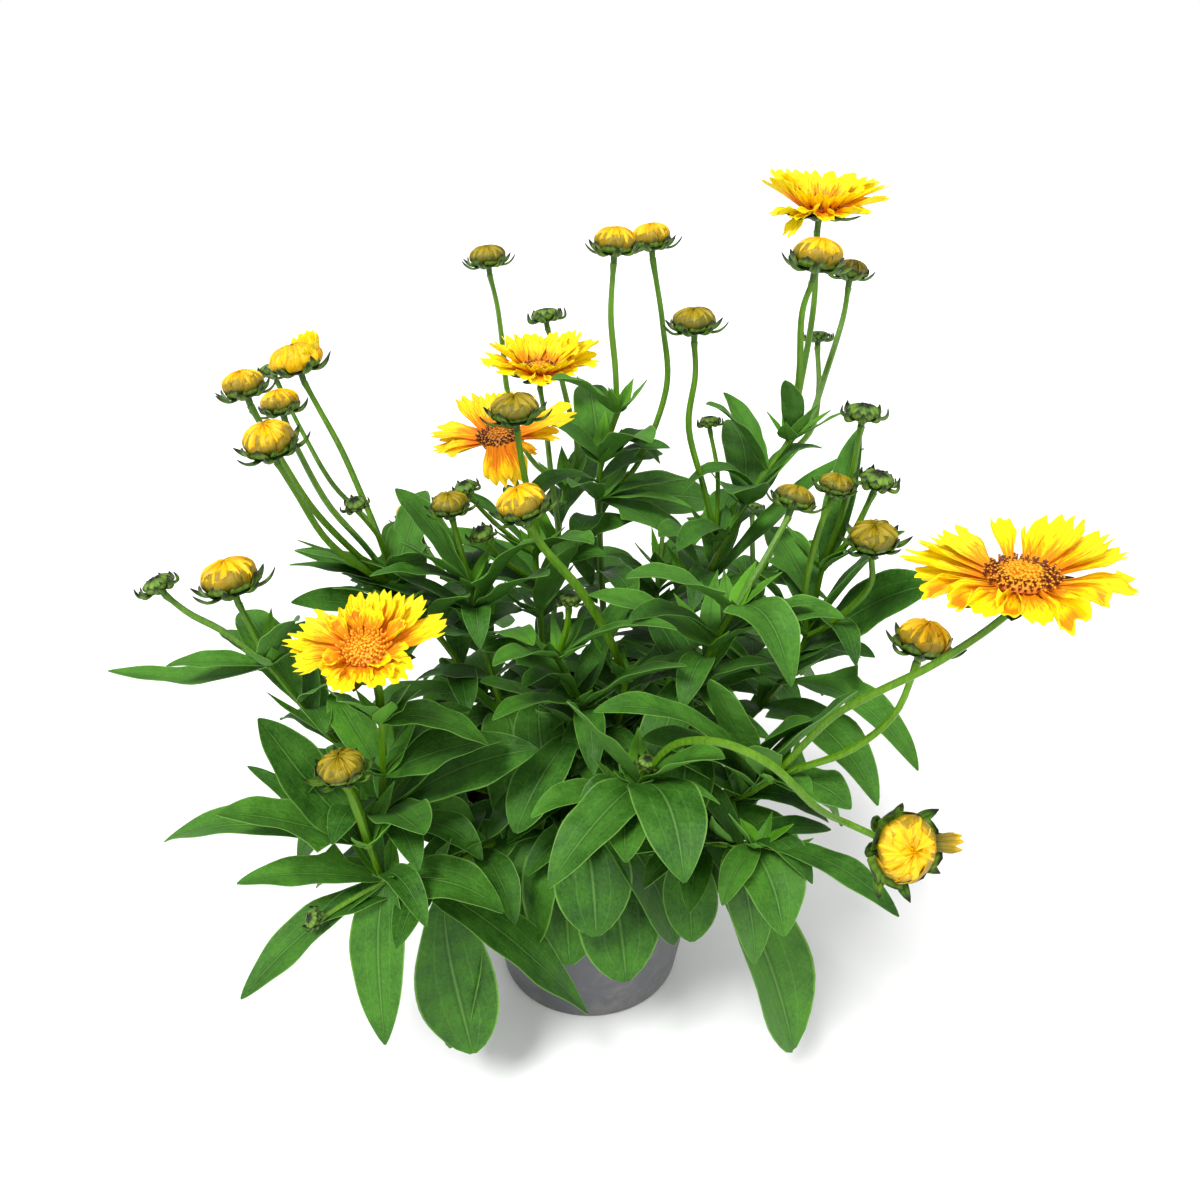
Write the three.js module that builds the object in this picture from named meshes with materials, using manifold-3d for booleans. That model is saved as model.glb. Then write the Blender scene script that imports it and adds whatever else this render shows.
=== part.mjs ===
// A potted coreopsis: a nursery pot filled with soil, leafy shoots with leaves in opposite
// pairs, and on their stalks five open semi-double blooms, one half-open bloom and many buds.
// Millimetres, +Z up, origin at the middle of the pot's base.
// Azimuth 0 is +X, azimuth 90 is +Y; the fullest side of the plant faces -Y.

import * as THREE from 'three';
import Module from 'manifold-3d';
import { mergeVertices } from 'three/addons/utils/BufferGeometryUtils.js';

const wasm = await Module();
wasm.setup();

// ---------------------------------------------------------------- driving dimensions

const GAP = 0.3; // between two pieces that touch
const POT = {
  height: 115, baseRadius: 46, topRadius: 62, rimRadius: 65, rimHeight: 17, wall: 2, floor: 3,
  segments: 24, slots: 4, slotLength: 16, slotWidth: 3.4, slotFrom: 22,
};
const SOIL = { top: 100, segments: 12, rings: [0.62], lump: 1.6 };
const STEM = { sides: 4, taper: 0.62, reach: 25, end: 4 };
const STALK = { radius: 1.15, sides: 4, start: 0.5 };
const BLADE = {
  thickness: 1.3, root: 1.0, fold: 0.22, rows: 4, fewRows: 3, wide: 12,
  full: 1.1, // the width over that of a smooth outline, which the few rows cut short
};
const BRACTS = 8;
const CALYX = { floor: 0.8, drop: 0.5, notch: 0.75, tip: 1.4 };
// The bracts' radius as a share of the head's size, and how far their tips rise in such radii.
const BRACT_OF = {
  bloom: [0.2, -0.14], old: [0.2, -0.42], half: [0.42, 0.42], bud: [0.5, 0.42], green: [0.5, 0],
};
const PETAL = {
  thickness: 1.2, hub: 2, curl: 0.1, cup: 0.1, slots: 16, halfSlots: 10,
  flare: [0.86, 0.93, 1], close: [0.55, 0.49, 0.42],
};

// How fast a blade widens from its root and narrows to its tip.
const OUTLINES = {
  lance: [0.75, 0.55],
  spoon: [1.8, 0.45],
  narrow: [0.6, 0.9],
};

// Where a blade would touch a neighbour it is bent: lifted (mm) or swung (degrees), in this order.
const BENDS = [
  [0, 0], [5, 0], [-5, 0], [0, 7], [0, -7], [6, 8], [-6, -8], [6, -8], [-6, 8],
  [12, 0], [-12, 0], [0, 15], [0, -15], [12, 14], [-12, -14], [12, -14], [-12, 14],
  [20, 0], [-20, 0], [4, 24], [4, -24], [20, 20], [20, -20],
];
const CLEARANCE = 0.35;

const FINISH = {
  pot: [0x5a5a5c, 0.62],
  soil: [0x2c2119, 0.95],
  leaf: [0x4c7f34, 0.55],
  ray: [0xf9d410, 0.5],
  rayOld: [0xf2a81a, 0.55],
  disc: [0xdf8a14, 0.7],
  budYellow: [0xe0b81c, 0.5],
  budOlive: [0x98882a, 0.5],
};

// ---------------------------------------------------------------- the plant
//
// axis:   the leafy stem, from inside the soil to its last leaf joint
// leaves: [joint on the axis, [x, y, z] of the tip, height of the arch, width, outline, roll]
// stalks: what grows on from a joint; way is its course, and head is what it carries: its kind,
//         its size across, the disc across, the lean of its axis and the lift of its petals
// pairs:  how many further opposite pairs of leaves the shoot carries, placed by rule

const SHOOTS = [
  {
    name: 'shoot_right_tall', girth: 3.6,
    axis: [[22, 6, 90], [26, 6, 112], [38, 5, 165], [50, 5, 212], [69, 9, 255], [87, 13, 283]],
    leaves: [
      [4.5, [49, 2, 302], 6, 12, 'lance'],
      [5, [80, -4, 314], 2, 9, 'lance'],
      [5, [108, 0, 301], 0, 6, 'narrow'],
      [4.5, [60, 30, 300], 2, 11, 'lance'],
      [3, [115, 16, 284], 2, 14, 'lance'],
      [3, [108, -10, 219], 8, 14, 'lance'],
    ],
    stalks: [
      { from: 5, way: [[92, 24, 306], [96, 32, 336], [95, 34, 366]],
        head: { kind: 'bloom', name: 'top', size: 55, disc: 15, lean: [0.04, 0.02, 1], lift: 30 } },
      { from: 5, way: [[88, 9, 312], [86, 4, 338], [89, 4, 351]],
        head: { kind: 'bud', name: 'top', size: 20, colour: 'budYellow' } },
      { from: 5, way: [[97, 22, 291], [104, 32, 308], [111, 42, 328], [113, 46, 341]],
        head: { kind: 'bud', name: 'top_small', size: 15, colour: 'budOlive' } },
      { from: 4.5, way: [[99, 32, 280], [105, 48, 294], [105, 60, 312]],
        head: { kind: 'green', size: 11 } },
    ],
    pairs: 2,
  },
  {
    name: 'shoot_right_back', girth: 3.6,
    axis: [[36, -10, 90], [41, -11, 112], [66, -15, 150], [86, -19, 180], [95, -22, 206],
      [98, -25, 240]],
    leaves: [
      [3.5, [137, -54, 248], 4, 25, 'lance', 34],
      [4, [126, -34, 262], 3, 16, 'lance'],
      [3, [131, -86, 183], 12, 18, 'lance'],
      [2.5, [118, -86, 166], 14, 22, 'lance'],
      [5, [108, -14, 298], 0, 13, 'lance'],
      [5, [122, -44, 270], 2, 9, 'narrow'],
      [4, [67, -34, 243], 3, 14, 'lance'],
    ],
    stalks: [
      { from: 5, way: [[104, -28, 272], [106, -30, 303]], head: { kind: 'green', size: 14 } },
      { from: 5, way: [[105, -36, 258], [111, -41, 280]], head: { kind: 'green', size: 14 } },
      { from: 4, way: [[101, -42, 224], [110, -55, 246], [108, -60, 262]],
        head: { kind: 'bud', name: 'right', size: 18, colour: 'budOlive' } },
      { from: 4, way: [[90, -34, 235], [92, -38, 262], [96, -38, 276]],
        head: { kind: 'bud', name: 'right_small', size: 13, colour: 'budOlive' } },
    ],
    pairs: 2,
  },
  {
    name: 'shoot_right_bright', girth: 3.6,
    axis: [[18, -20, 90], [21, -23, 112], [31, -36, 155], [43, -51, 197], [50, -59, 222],
      [57, -63, 240]],
    leaves: [
      [5, [15, -86, 267], 4, 16, 'lance'],
      [5, [76, -96, 226], 13, 18, 'lance'],
      [4, [84, -72, 250], 3, 11, 'lance'],
      [3, [74, -78, 225], 3, 18, 'lance'],
    ],
    stalks: [
      { from: 5, way: [[66, -57, 254], [78, -46, 272]],
        head: { kind: 'bud', name: 'bright', size: 16, colour: 'budOlive' } },
    ],
    pairs: 2,
  },
  {
    name: 'shoot_right_low', girth: 3.4,
    axis: [[32, -28, 90], [36, -32, 112], [50, -58, 140], [62, -84, 168], [70, -98, 186]],
    leaves: [
      [4, [4, -115, 232], 8, 17, 'lance'],
      [3, [98, -104, 228], 4, 21, 'lance'],
      [4, [62, -130, 222], 2, 12, 'lance'],
      [4, [96, -118, 200], 4, 18, 'lance'],
      [3, [45, -104, 230], 4, 18, 'lance'],
      [2.5, [80, -96, 205], 4, 19, 'lance'],
      [4, [102, -92, 160], 6, 22, 'lance', 10],
    ],
    stalks: [
      { from: 4, way: [[83, -117, 224], [92, -128, 241], [107, -140, 260], [118, -147, 275],
        [127, -149, 286]],
      head: { kind: 'bloom', name: 'right', size: 68, disc: 23, lean: [-0.05, -0.02, 1], lift: 7 } },
      { from: 4, way: [[78, -106, 197], [93, -116, 212], [106, -119, 229], [112, -116, 248]],
        head: { kind: 'bud', name: 'right_low', size: 18, colour: 'budYellow' } },
    ],
    pairs: 2,
  },
  {
    name: 'shoot_front_centre', girth: 3.4,
    axis: [[8, -37, 90], [11, -43, 112], [15, -68, 145], [18, -92, 172], [20, -106, 190]],
    leaves: [
      [4, [-6, -127, 239], 2, 15, 'lance'],
      [4, [-12, -148, 178], 10, 20, 'lance'],
      [4, [34, -150, 177], 12, 24, 'lance'],
      [4, [50, -126, 226], 2, 15, 'lance'],
      [4, [48, -124, 196], 3, 6, 'narrow'],
      [3, [-20, -118, 186], 6, 12, 'lance'],
    ],
    stalks: [
      { from: 4, way: [[28, -119, 214], [36, -130, 226], [47, -141, 232], [61, -146, 227],
        [76, -146, 211], [89, -141, 200], [100, -150, 200]],
      head: { kind: 'bud', name: 'opening', size: 23, colour: 'budYellow', lean: [0.35, -0.85, 0.4] } },
      { from: 4, way: [[22, -112, 202]], head: { kind: 'green', size: 7 } },
    ],
    pairs: 2,
  },
  {
    name: 'shoot_front_right', girth: 3.4,
    axis: [[24, -37, 90], [29, -44, 112], [44, -68, 132], [58, -90, 148], [66, -102, 158]],
    leaves: [
      [4, [113, -137, 155], 6, 13, 'lance'],
      [1.5, [93, -98, 38], 22, 41, 'spoon'],
      [3.5, [75, -128, 141], 8, 24, 'lance'],
      [4, [50, -128, 152], 4, 11, 'lance'],
      [3, [70, -110, 102], 10, 23, 'lance'],
      [2, [44, -92, 98], 12, 22, 'spoon'],
    ],
    stalks: [],
    pairs: 1,
  },
  {
    name: 'shoot_centre', girth: 3.2,
    axis: [[0, -22, 90], [0, -26, 112], [0, -36, 150], [-2, -46, 185], [-12, -53, 213]],
    leaves: [
      [4, [-33, -95, 236], 3, 12, 'lance'],
      [3, [-34, -95, 214], 4, 12, 'lance'],
      [4, [33, -86, 248], 5, 10, 'lance'],
      [3, [38, -84, 226], 6, 15, 'lance'],
      [2.5, [-34, -78, 223], 4, 15, 'lance'],
      [3, [22, -40, 232], 4, 16, 'lance'],
    ],
    stalks: [
      { from: 4, way: [[-8, -52, 226], [-7, -50, 234]], head: { kind: 'green', size: 9 } },
    ],
    pairs: 2,
  },
  {
    name: 'shoot_centre_thick', girth: 4,
    axis: [[6, -7, 90], [7, -10, 112], [10, -24, 150], [15, -38, 180], [16, -46, 198]],
    leaves: [
      [4, [44, -62, 216], 4, 13, 'lance'],
    ],
    stalks: [
      { from: 4, way: [[9, -54, 223], [-2, -58, 246], [-15, -60, 264], [-21, -60, 274]], radius: 1.5,
        head: { kind: 'bud', name: 'centre', size: 19, colour: 'budYellow' } },
    ],
    pairs: 2,
  },
  {
    name: 'shoot_slender', girth: 3,
    axis: [[32, 20, 90], [35, 20, 112], [46, 16, 160], [56, 12, 205], [57, 8, 238]],
    leaves: [
      [4, [30, -16, 250], 4, 15, 'lance'],
      [4, [62, 16, 272], 1, 8, 'narrow'],
    ],
    stalks: [
      { from: 4, way: [[51, 7, 262], [43, 8, 290], [45, 10, 312], [44, 10, 326]],
        head: { kind: 'bud', name: 'slender', size: 18, colour: 'budOlive' } },
      { from: 4, way: [[57, 14, 266], [53, 18, 286]], radius: 0.9, head: { kind: 'green', size: 9 } },
    ],
    pairs: 2,
  },
  {
    name: 'shoot_back_tall', girth: 3.6,
    axis: [[8, 14, 90], [9, 16, 112], [9, 24, 160], [6, 28, 210], [5, 28, 250], [6, 27, 268],
      [13, 24, 292]],
    leaves: [
      [5, [36, 18, 278], 3, 11, 'lance'],
      [4, [45, 0, 258], 3, 9, 'narrow'],
      [6, [-15, 12, 311], 3, 14, 'lance'],
      [4, [-6, -14, 274], 2, 13, 'lance'],
      [4, [51, 0, 232], 5, 16, 'lance'],
      [4, [44, 16, 258], 3, 11, 'narrow'],
      [5, [30, 30, 268], 5, 15, 'lance'],
    ],
    stalks: [
      { from: 6, way: [[12, 23, 312], [10, 22, 334], [11, 22, 355]],
        head: { kind: 'bud', name: 'tall_left', size: 17, colour: 'budYellow' } },
      { from: 4, way: [[22, 34, 264], [35, 42, 297], [33, 46, 325], [28, 48, 353]],
        head: { kind: 'bud', name: 'tall_right', size: 17, colour: 'budYellow' } },
    ],
    pairs: 2,
  },
  {
    name: 'shoot_back_left', girth: 3.4,
    axis: [[-10, 30, 90], [-12, 34, 112], [-18, 48, 160], [-16, 62, 210], [-12, 68, 240]],
    leaves: [],
    stalks: [
      { from: 4, way: [[-30, 70, 257], [-39, 78, 284], [-41, 82, 305], [-43, 84, 325],
        [-46, 84, 340]],
      head: { kind: 'bud', name: 'back_left', size: 17, colour: 'budOlive' } },
      { from: 4, way: [[-6, 76, 258], [-11, 84, 280], [-17, 88, 304], [-20, 90, 314]],
        head: { kind: 'green', size: 15 } },
    ],
    pairs: 3,
  },
  {
    name: 'shoot_middle', girth: 3.8,
    axis: [[-14, 2, 90], [-16, 2, 112], [-20, 2, 160], [-22, 2, 205], [-23, 0, 235]],
    leaves: [
      [4, [-2, -34, 262], 3, 16, 'lance'],
      [4, [-58, -2, 262], 3, 11, 'lance'],
      [3, [-4, -22, 248], 3, 14, 'lance'],
    ],
    stalks: [
      { from: 3, way: [[-14, 26, 226], [-17, 40, 254], [-20, 49, 282], [-22, 50, 296]],
        head: { kind: 'bloom', name: 'middle', size: 54, disc: 16, lean: [0.05, -0.02, 1], lift: 26 } },
      { from: 4, way: [[-27, 5, 252], [-31, 6, 267], [-36, 4, 279]],
        head: { kind: 'bloom', name: 'old', size: 62, disc: 17, lean: [-0.1, -0.2, 1], lift: 4,
          old: true } },
      { from: 4, way: [[-21, -16, 252], [-24, -22, 274], [-26, -25, 290], [-27, -26, 300]],
        head: { kind: 'bud', name: 'middle', size: 19, colour: 'budOlive' } },
      { from: 4, way: [[-38, -8, 252], [-49, -14, 268]], radius: 0.9, head: { kind: 'green', size: 10 } },
      { from: 3.5, way: [[-34, -16, 238], [-42, -24, 252]], radius: 0.9,
        head: { kind: 'green', size: 10 } },
    ],
    pairs: 2,
  },
  {
    name: 'shoot_left_inner', girth: 3.4,
    axis: [[-22, -8, 90], [-26, -10, 112], [-38, -16, 160], [-46, -22, 205], [-49, -26, 232]],
    leaves: [
      [4, [-80, -12, 270], 2, 16, 'lance'],
      [4, [-84, -54, 250], 4, 12, 'lance'],
      [3.5, [-14, -66, 262], 3, 17, 'lance'],
      [3, [-20, -74, 232], 4, 12, 'lance'],
      [2, [-35, -66, 99], 26, 28, 'lance'],
      [3.5, [-20, -42, 262], 4, 15, 'lance'],
    ],
    stalks: [
      { from: 4, way: [[-52, -29, 252], [-54, -30, 264]],
        head: { kind: 'bud', name: 'left_inner', size: 15, colour: 'budOlive' } },
    ],
    pairs: 2,
  },
  {
    name: 'shoot_left_high', girth: 3.8,
    axis: [[-28, 6, 90], [-33, 6, 112], [-50, 0, 160], [-68, -8, 200], [-83, -16, 228]],
    leaves: [
      [4, [-121, -34, 246], 3, 9, 'lance'],
      [4, [-112, -44, 256], 2, 12, 'lance'],
      [4, [-66, -40, 250], 3, 15, 'lance'],
      [3, [-104, -6, 232], 4, 17, 'lance'],
      [4, [-84, 22, 250], 4, 15, 'lance'],
      [3, [-38, -40, 236], 6, 13, 'lance'],
      [3, [-121, -40, 236], 4, 15, 'lance', -20],
      [3.5, [-124, -16, 244], 3, 13, 'lance', -20],
    ],
    stalks: [
      { from: 4, way: [[-89, -10, 248], [-97, -2, 266], [-105, 6, 282], [-114, 13, 297],
        [-119, 14, 308]],
      head: { kind: 'half', name: 'high', size: 24 } },
      { from: 4, way: [[-95, -26, 247], [-108, -34, 270], [-118, -35, 292], [-127, -33, 312]],
        head: { kind: 'bud', name: 'high_left', size: 16, colour: 'budYellow' } },
      { from: 4, way: [[-94, -14, 245], [-108, -13, 264], [-119, -8, 286], [-123, -6, 297]],
        head: { kind: 'bud', name: 'high_middle', size: 16, colour: 'budYellow' } },
      { from: 4, way: [[-90, -34, 243], [-101, -46, 262], [-108, -54, 285], [-112, -58, 298]],
        head: { kind: 'bud', name: 'high_front', size: 19, colour: 'budYellow' } },
      { from: 4, way: [[-92, 0, 246], [-112, 14, 262], [-126, 28, 280], [-138, 38, 302]],
        radius: 0.95, head: { kind: 'green', size: 13 } },
      { from: 4, way: [[-84, -26, 252], [-90, -36, 270]], radius: 0.9, head: { kind: 'green', size: 9 } },
    ],
    pairs: 2,
  },
  {
    name: 'shoot_left_long', girth: 3.4,
    axis: [[-36, -12, 90], [-41, -14, 112], [-66, -28, 134], [-92, -46, 152], [-108, -58, 180],
      [-124, -67, 218]],
    leaves: [
      [5, [-191, -60, 213], -5, 13, 'lance'],
      [5, [-161, -74, 223], 1, 11, 'lance'],
      [5, [-147, -52, 231], 1, 8, 'lance'],
      [5, [-107, -78, 246], 2, 15, 'lance'],
      [4, [-134, -30, 204], 5, 16, 'lance'],
    ],
    stalks: [
      { from: 5, way: [[-130, -63, 232], [-134, -61, 242]],
        head: { kind: 'bud', name: 'left_long', size: 22, colour: 'budYellow' } },
      { from: 5, way: [[-140, -64, 231], [-152, -64, 239], [-160, -64, 247]],
        head: { kind: 'green', size: 13 } },
    ],
    pairs: 2,
  },
  {
    name: 'shoot_left_flower', girth: 3.6,
    axis: [[-30, -24, 90], [-34, -29, 112], [-54, -54, 128], [-74, -74, 142], [-81, -84, 160],
      [-78, -92, 184], [-74, -101, 214]],
    leaves: [
      [6, [-84, -116, 234], 1, 13, 'lance'],
      [6, [-60, -96, 226], 1, 11, 'lance'],
      [6, [-36, -101, 203], 8, 16, 'lance'],
      [5, [-32, -84, 194], 5, 23, 'lance'],
      [4, [-19, -82, 189], 2, 25, 'lance', 18],
      [5, [-100, -70, 208], 4, 15, 'lance'],
      [3, [-47, -66, 128], 4, 22, 'lance', 30],
      [3, [-108, -60, 176], 6, 18, 'lance'],
    ],
    stalks: [
      { from: 6, way: [[-73, -104, 230], [-75, -105, 240]], radius: 1.4,
        head: { kind: 'bloom', name: 'left', size: 57, disc: 17, lean: [-0.04, -0.3, 1], lift: 10 } },
    ],
    pairs: 1,
  },
  {
    name: 'shoot_left_low', girth: 3.8,
    axis: [[-24, -34, 90], [-28, -40, 113], [-47, -69, 127], [-68, -95, 133], [-78, -105, 143],
      [-82, -110, 165]],
    leaves: [
      [4, [-79, -132, 84], 10, 20, 'lance'],
      [4, [-131, -134, 122], 3, 18, 'lance'],
      [5, [-121, -95, 212], 2, 24, 'lance'],
      [5, [-131, -88, 186], 3, 9, 'lance'],
      [5, [-165, -100, 160], 9, 18, 'lance'],
      [5, [-131, -122, 186], 2, 20, 'lance'],
      [4, [-133, -114, 152], 2, 15, 'lance'],
      [3.5, [-104, -120, 116], 3, 13, 'lance'],
      [3.5, [-96, -130, 112], 2, 8, 'narrow'],
      [3.5, [-66, -122, 118], 2, 6, 'narrow'],
      [4, [-30, -117, 140], 7, 21, 'lance'],
      [3, [-1, -96, 58], 14, 29, 'lance'],
      [2.5, [-50, -102, 42], 16, 33, 'spoon'],
      [2, [-64, -90, 36], 18, 30, 'spoon'],
    ],
    stalks: [
      { from: 5, way: [[-84, -113, 185], [-86, -115, 197]], radius: 1.6,
        head: { kind: 'bud', name: 'left_low', size: 17, colour: 'budOlive' } },
      { from: 4, way: [[-92, -114, 140], [-101, -120, 137]], radius: 0.9,
        head: { kind: 'green', size: 8 } },
    ],
    pairs: 0,
  },
  {
    name: 'rosette_front', girth: 4,
    axis: [[-10, -36, 90], [-10, -38, 104], [-9, -42, 116]],
    leaves: [
      [2, [17, -90, 60], 22, 39, 'spoon'],
      [2, [4, -96, 104], 18, 32, 'spoon'],
    ],
    stalks: [],
    pairs: 2,
  },
  {
    name: 'rosette_back', girth: 4,
    axis: [[12, 34, 90], [12, 36, 104], [13, 40, 116]],
    leaves: [],
    stalks: [],
    pairs: 4,
  },
  {
    name: 'shoot_back_right', girth: 3.4,
    axis: [[34, 4, 90], [38, 7, 112], [56, 26, 140], [74, 46, 168], [84, 58, 190]],
    leaves: [],
    stalks: [
      { from: 4, way: [[94, 70, 206], [102, 78, 224]],
        head: { kind: 'bud', name: 'back_right', size: 16, colour: 'budOlive' } },
      { from: 4, way: [[84, 72, 204], [84, 82, 220]], head: { kind: 'green', size: 10 } },
    ],
    pairs: 4,
  },
  {
    name: 'shoot_back_centre', girth: 3.4,
    axis: [[24, 36, 90], [26, 41, 112], [32, 66, 136], [36, 90, 160], [38, 102, 180]],
    leaves: [],
    stalks: [
      { from: 4, way: [[40, 114, 192], [42, 122, 208]],
        head: { kind: 'bud', name: 'back_centre', size: 17, colour: 'budYellow' } },
    ],
    pairs: 4,
  },
  {
    name: 'shoot_back_far', girth: 3.4,
    axis: [[-26, 24, 90], [-29, 28, 112], [-46, 50, 136], [-64, 72, 160], [-74, 84, 180]],
    leaves: [],
    stalks: [
      { from: 4, way: [[-86, 94, 192], [-94, 100, 206]],
        head: { kind: 'bud', name: 'back_far', size: 16, colour: 'budYellow' } },
      { from: 4, way: [[-74, 96, 194], [-74, 106, 208]], head: { kind: 'green', size: 10 } },
    ],
    pairs: 4,
  },
];

// ---------------------------------------------------------------- small tools

const vec = (p) => new THREE.Vector3(...p);
const UP = vec([0, 0, 1]);
const radians = THREE.MathUtils.degToRad;

/** An even but irregular series between 0 and 1: multiples of the golden ratio. */
const ripple = (i, k = 0) => ((i + 1) * 0.618034 + k * 0.381966) % 1;

/** Two directions square to an axis, so that side, lift and axis are right-handed. */
function squareTo(axis) {
  const side = new THREE.Vector3().crossVectors(UP, axis);
  if (side.length() < 1e-3) side.set(1, 0, 0);
  side.normalize();
  return [side, new THREE.Vector3().crossVectors(axis, side).normalize()];
}

/** A ring of n points round a centre, counter-clockwise from the side that u x v points to. */
function ring(centre, u, v, n, radius, start = 0) {
  return Array.from({ length: n }, (_, k) => {
    const angle = ((k + start) / n) * 2 * Math.PI;
    return centre.clone()
      .addScaledVector(u, radius * Math.cos(angle))
      .addScaledVector(v, radius * Math.sin(angle));
  });
}

/** A manifold-3d solid of a closed three.js geometry. */
function toSolid(source) {
  const bare = new THREE.BufferGeometry();
  bare.setAttribute('position', source.getAttribute('position').clone());
  bare.setIndex(source.index ? source.index.clone() : null);
  const merged = mergeVertices(bare, 1e-4);
  const vertProperties = new Float32Array(merged.getAttribute('position').array);
  const triVerts = new Uint32Array(merged.index.array);
  return new wasm.Manifold(new wasm.Mesh({ numProp: 3, vertProperties, triVerts }));
}

/** The three.js geometry of a manifold-3d solid. */
function toGeometry(body) {
  const mesh = body.getMesh();
  const geometry = new THREE.BufferGeometry();
  geometry.setAttribute('position', new THREE.BufferAttribute(mesh.vertProperties, 3));
  geometry.setIndex(new THREE.BufferAttribute(mesh.triVerts, 1));
  return geometry;
}

/**
 * A closed surface that is grown ring by ring. Rings run counter-clockwise as seen from the end
 * that they grow towards.
 */
class Growth {
  constructor() {
    this.points = [];
    this.index = [];
  }

  /** Adds a ring's points and gives their numbers. */
  ring(points) {
    return points.map((point) => this.points.push(point) - 1);
  }

  /** Joins two rings of as many points; where flip says so, a face is split the other way. */
  band(from, to, flip = () => false) {
    from.forEach((a, k) => {
      const [b, c, d] = [from[(k + 1) % from.length], to[(k + 1) % to.length], to[k]];
      this.index.push(...(flip(k) ? [a, b, d, b, c, d] : [a, b, c, a, c, d]));
    });
  }

  /** Joins two rings by faces, and gives their corner loops where faces are left open. */
  openBand(from, to, isOpen) {
    const loops = [];
    from.forEach((a, k) => {
      const [b, c, d] = [from[(k + 1) % from.length], to[(k + 1) % to.length], to[k]];
      if (isOpen(k)) loops.push([k, [a, b, c, d]]);
      else this.index.push(a, b, c, a, c, d);
    });
    return loops;
  }

  /** Joins four corners to a ring of four, at the turn that twists least. */
  start(loop, points) {
    const far = (turn) => loop.reduce((sum, corner, k) => (
      sum + this.points[corner].distanceTo(points[(k + turn) % 4])), 0);
    const turn = [0, 1, 2, 3].reduce((a, b) => (far(b) < far(a) - 1e-6 ? b : a));
    const numbers = this.ring(points);
    this.band(loop, numbers.map((_, k) => numbers[(k + turn) % 4]));
    return numbers;
  }

  /** Closes a ring with a flat fan; back turns it towards where the rings came from. */
  cap(numbers, back = false) {
    for (let k = 2; k < numbers.length; k += 1) {
      const [a, b, c] = [numbers[1], numbers[k], numbers[(k + 1) % numbers.length]];
      this.index.push(...(back ? [a, c, b] : [a, b, c]));
    }
  }

  /** Closes a ring of corners in one point; back is for a point that the rings grow away from. */
  point(numbers, apex, back = false) {
    const [tip] = this.ring([apex]);
    numbers.forEach((a, k) => {
      const b = numbers[(k + 1) % numbers.length];
      this.index.push(...(back ? [b, a, tip] : [a, b, tip]));
    });
  }

  /** The finished solid. */
  solid() {
    const geometry = new THREE.BufferGeometry();
    const flat = this.points.flatMap((p) => [p.x, p.y, p.z]);
    geometry.setAttribute('position', new THREE.Float32BufferAttribute(flat, 3));
    geometry.setIndex(this.index);
    return toSolid(geometry);
  }
}

/** A closed solid through rings of as many points; each end is a cap or one apex point. */
function loft(rings, apex = null, foot = null, flip = () => false) {
  const body = new Growth();
  const numbers = rings.map((points) => body.ring(points));
  if (foot) body.point(numbers[0], foot, true);
  else body.cap(numbers[0], true);
  for (let i = 1; i < numbers.length; i += 1) body.band(numbers[i - 1], numbers[i], flip);
  if (apex) body.point(numbers[numbers.length - 1], apex);
  else body.cap(numbers[numbers.length - 1]);
  return body.solid();
}

/** Fuses solids that cross, and keeps the body that holds nearly everything. */
function fuse(solids) {
  const bodies = wasm.Manifold.union(solids).decompose();
  return bodies.reduce((a, b) => (b.volume() > a.volume() ? b : a));
}

// ---------------------------------------------------------------- stems, blades and heads

/** A smooth course through points. */
const course = (points) => new THREE.CatmullRomCurve3(points.map(vec), false, 'catmullrom', 0.5);

/** The place on a shoot's axis at a joint number, which may lie between two joints. */
const jointAt = (shoot, joint) => course(shoot.axis).getPoint(joint / (shoot.axis.length - 1));

/** Rings of a round stem at shares t of a curve; the section is carried along without twist. */
function stemRings(curve, shares, sides, radiusAt) {
  let side = null;
  return shares.map((t) => {
    const along = curve.getTangent(t);
    side = side ? side.clone().addScaledVector(along, -side.dot(along)).normalize()
      : squareTo(along)[0];
    const across = new THREE.Vector3().crossVectors(along, side);
    return ring(curve.getPoint(t), side, across, sides, radiusAt(t));
  });
}

/** The shares of a shoot's axis at which it has its rings: its foot, its neck and even steps. */
function axisShares(shoot) {
  const neck = 1 / (shoot.axis.length - 1);
  const length = course(shoot.axis).getLength() * (1 - neck);
  const steps = Math.max(1, Math.round(length / STEM.reach));
  return [0, ...Array.from({ length: steps + 1 }, (_, i) => neck + ((1 - neck) * i) / steps)];
}

/** Half the width of a blade at s from root to tip, as a share of its widest. */
function outlineAt(kind, s) {
  const [rise, fall] = OUTLINES[kind];
  const peak = rise / (rise + fall);
  return (s ** rise * (1 - s) ** fall) / (peak ** rise * (1 - peak) ** fall);
}

/**
 * Rings of a blade with an arched midrib, folded up along it, thickest there. A roll (degrees)
 * raises the edge on the left of the way that the blade runs.
 */
function bladeRings(root, tip, arch, width, kind, rows, roll) {
  const middle = root.clone().add(tip).multiplyScalar(0.5).addScaledVector(UP, 2 * arch);
  const rib = new THREE.QuadraticBezierCurve3(root, middle, tip);
  const level = new THREE.Vector3(root.y - tip.y, tip.x - root.x, 0).normalize();
  const shares = Array.from({ length: rows }, (_, i) => ((i + 0.7) / (rows + 0.25)) ** 0.9);
  return shares.map((s) => {
    const half = Math.max(BLADE.root, (width / 2) * BLADE.full * outlineAt(kind, s));
    const along = rib.getTangent(s);
    const side = level.clone().applyAxisAngle(along, radians(roll));
    const up = new THREE.Vector3().crossVectors(along, side).normalize();
    const at = rib.getPoint(s);
    const edge = at.clone().addScaledVector(up, half * BLADE.fold);
    return [
      edge.clone().addScaledVector(side, half),
      at.clone().addScaledVector(up, BLADE.thickness / 2),
      edge.clone().addScaledVector(side, -half),
      at.clone().addScaledVector(up, -BLADE.thickness / 2),
    ];
  });
}

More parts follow.
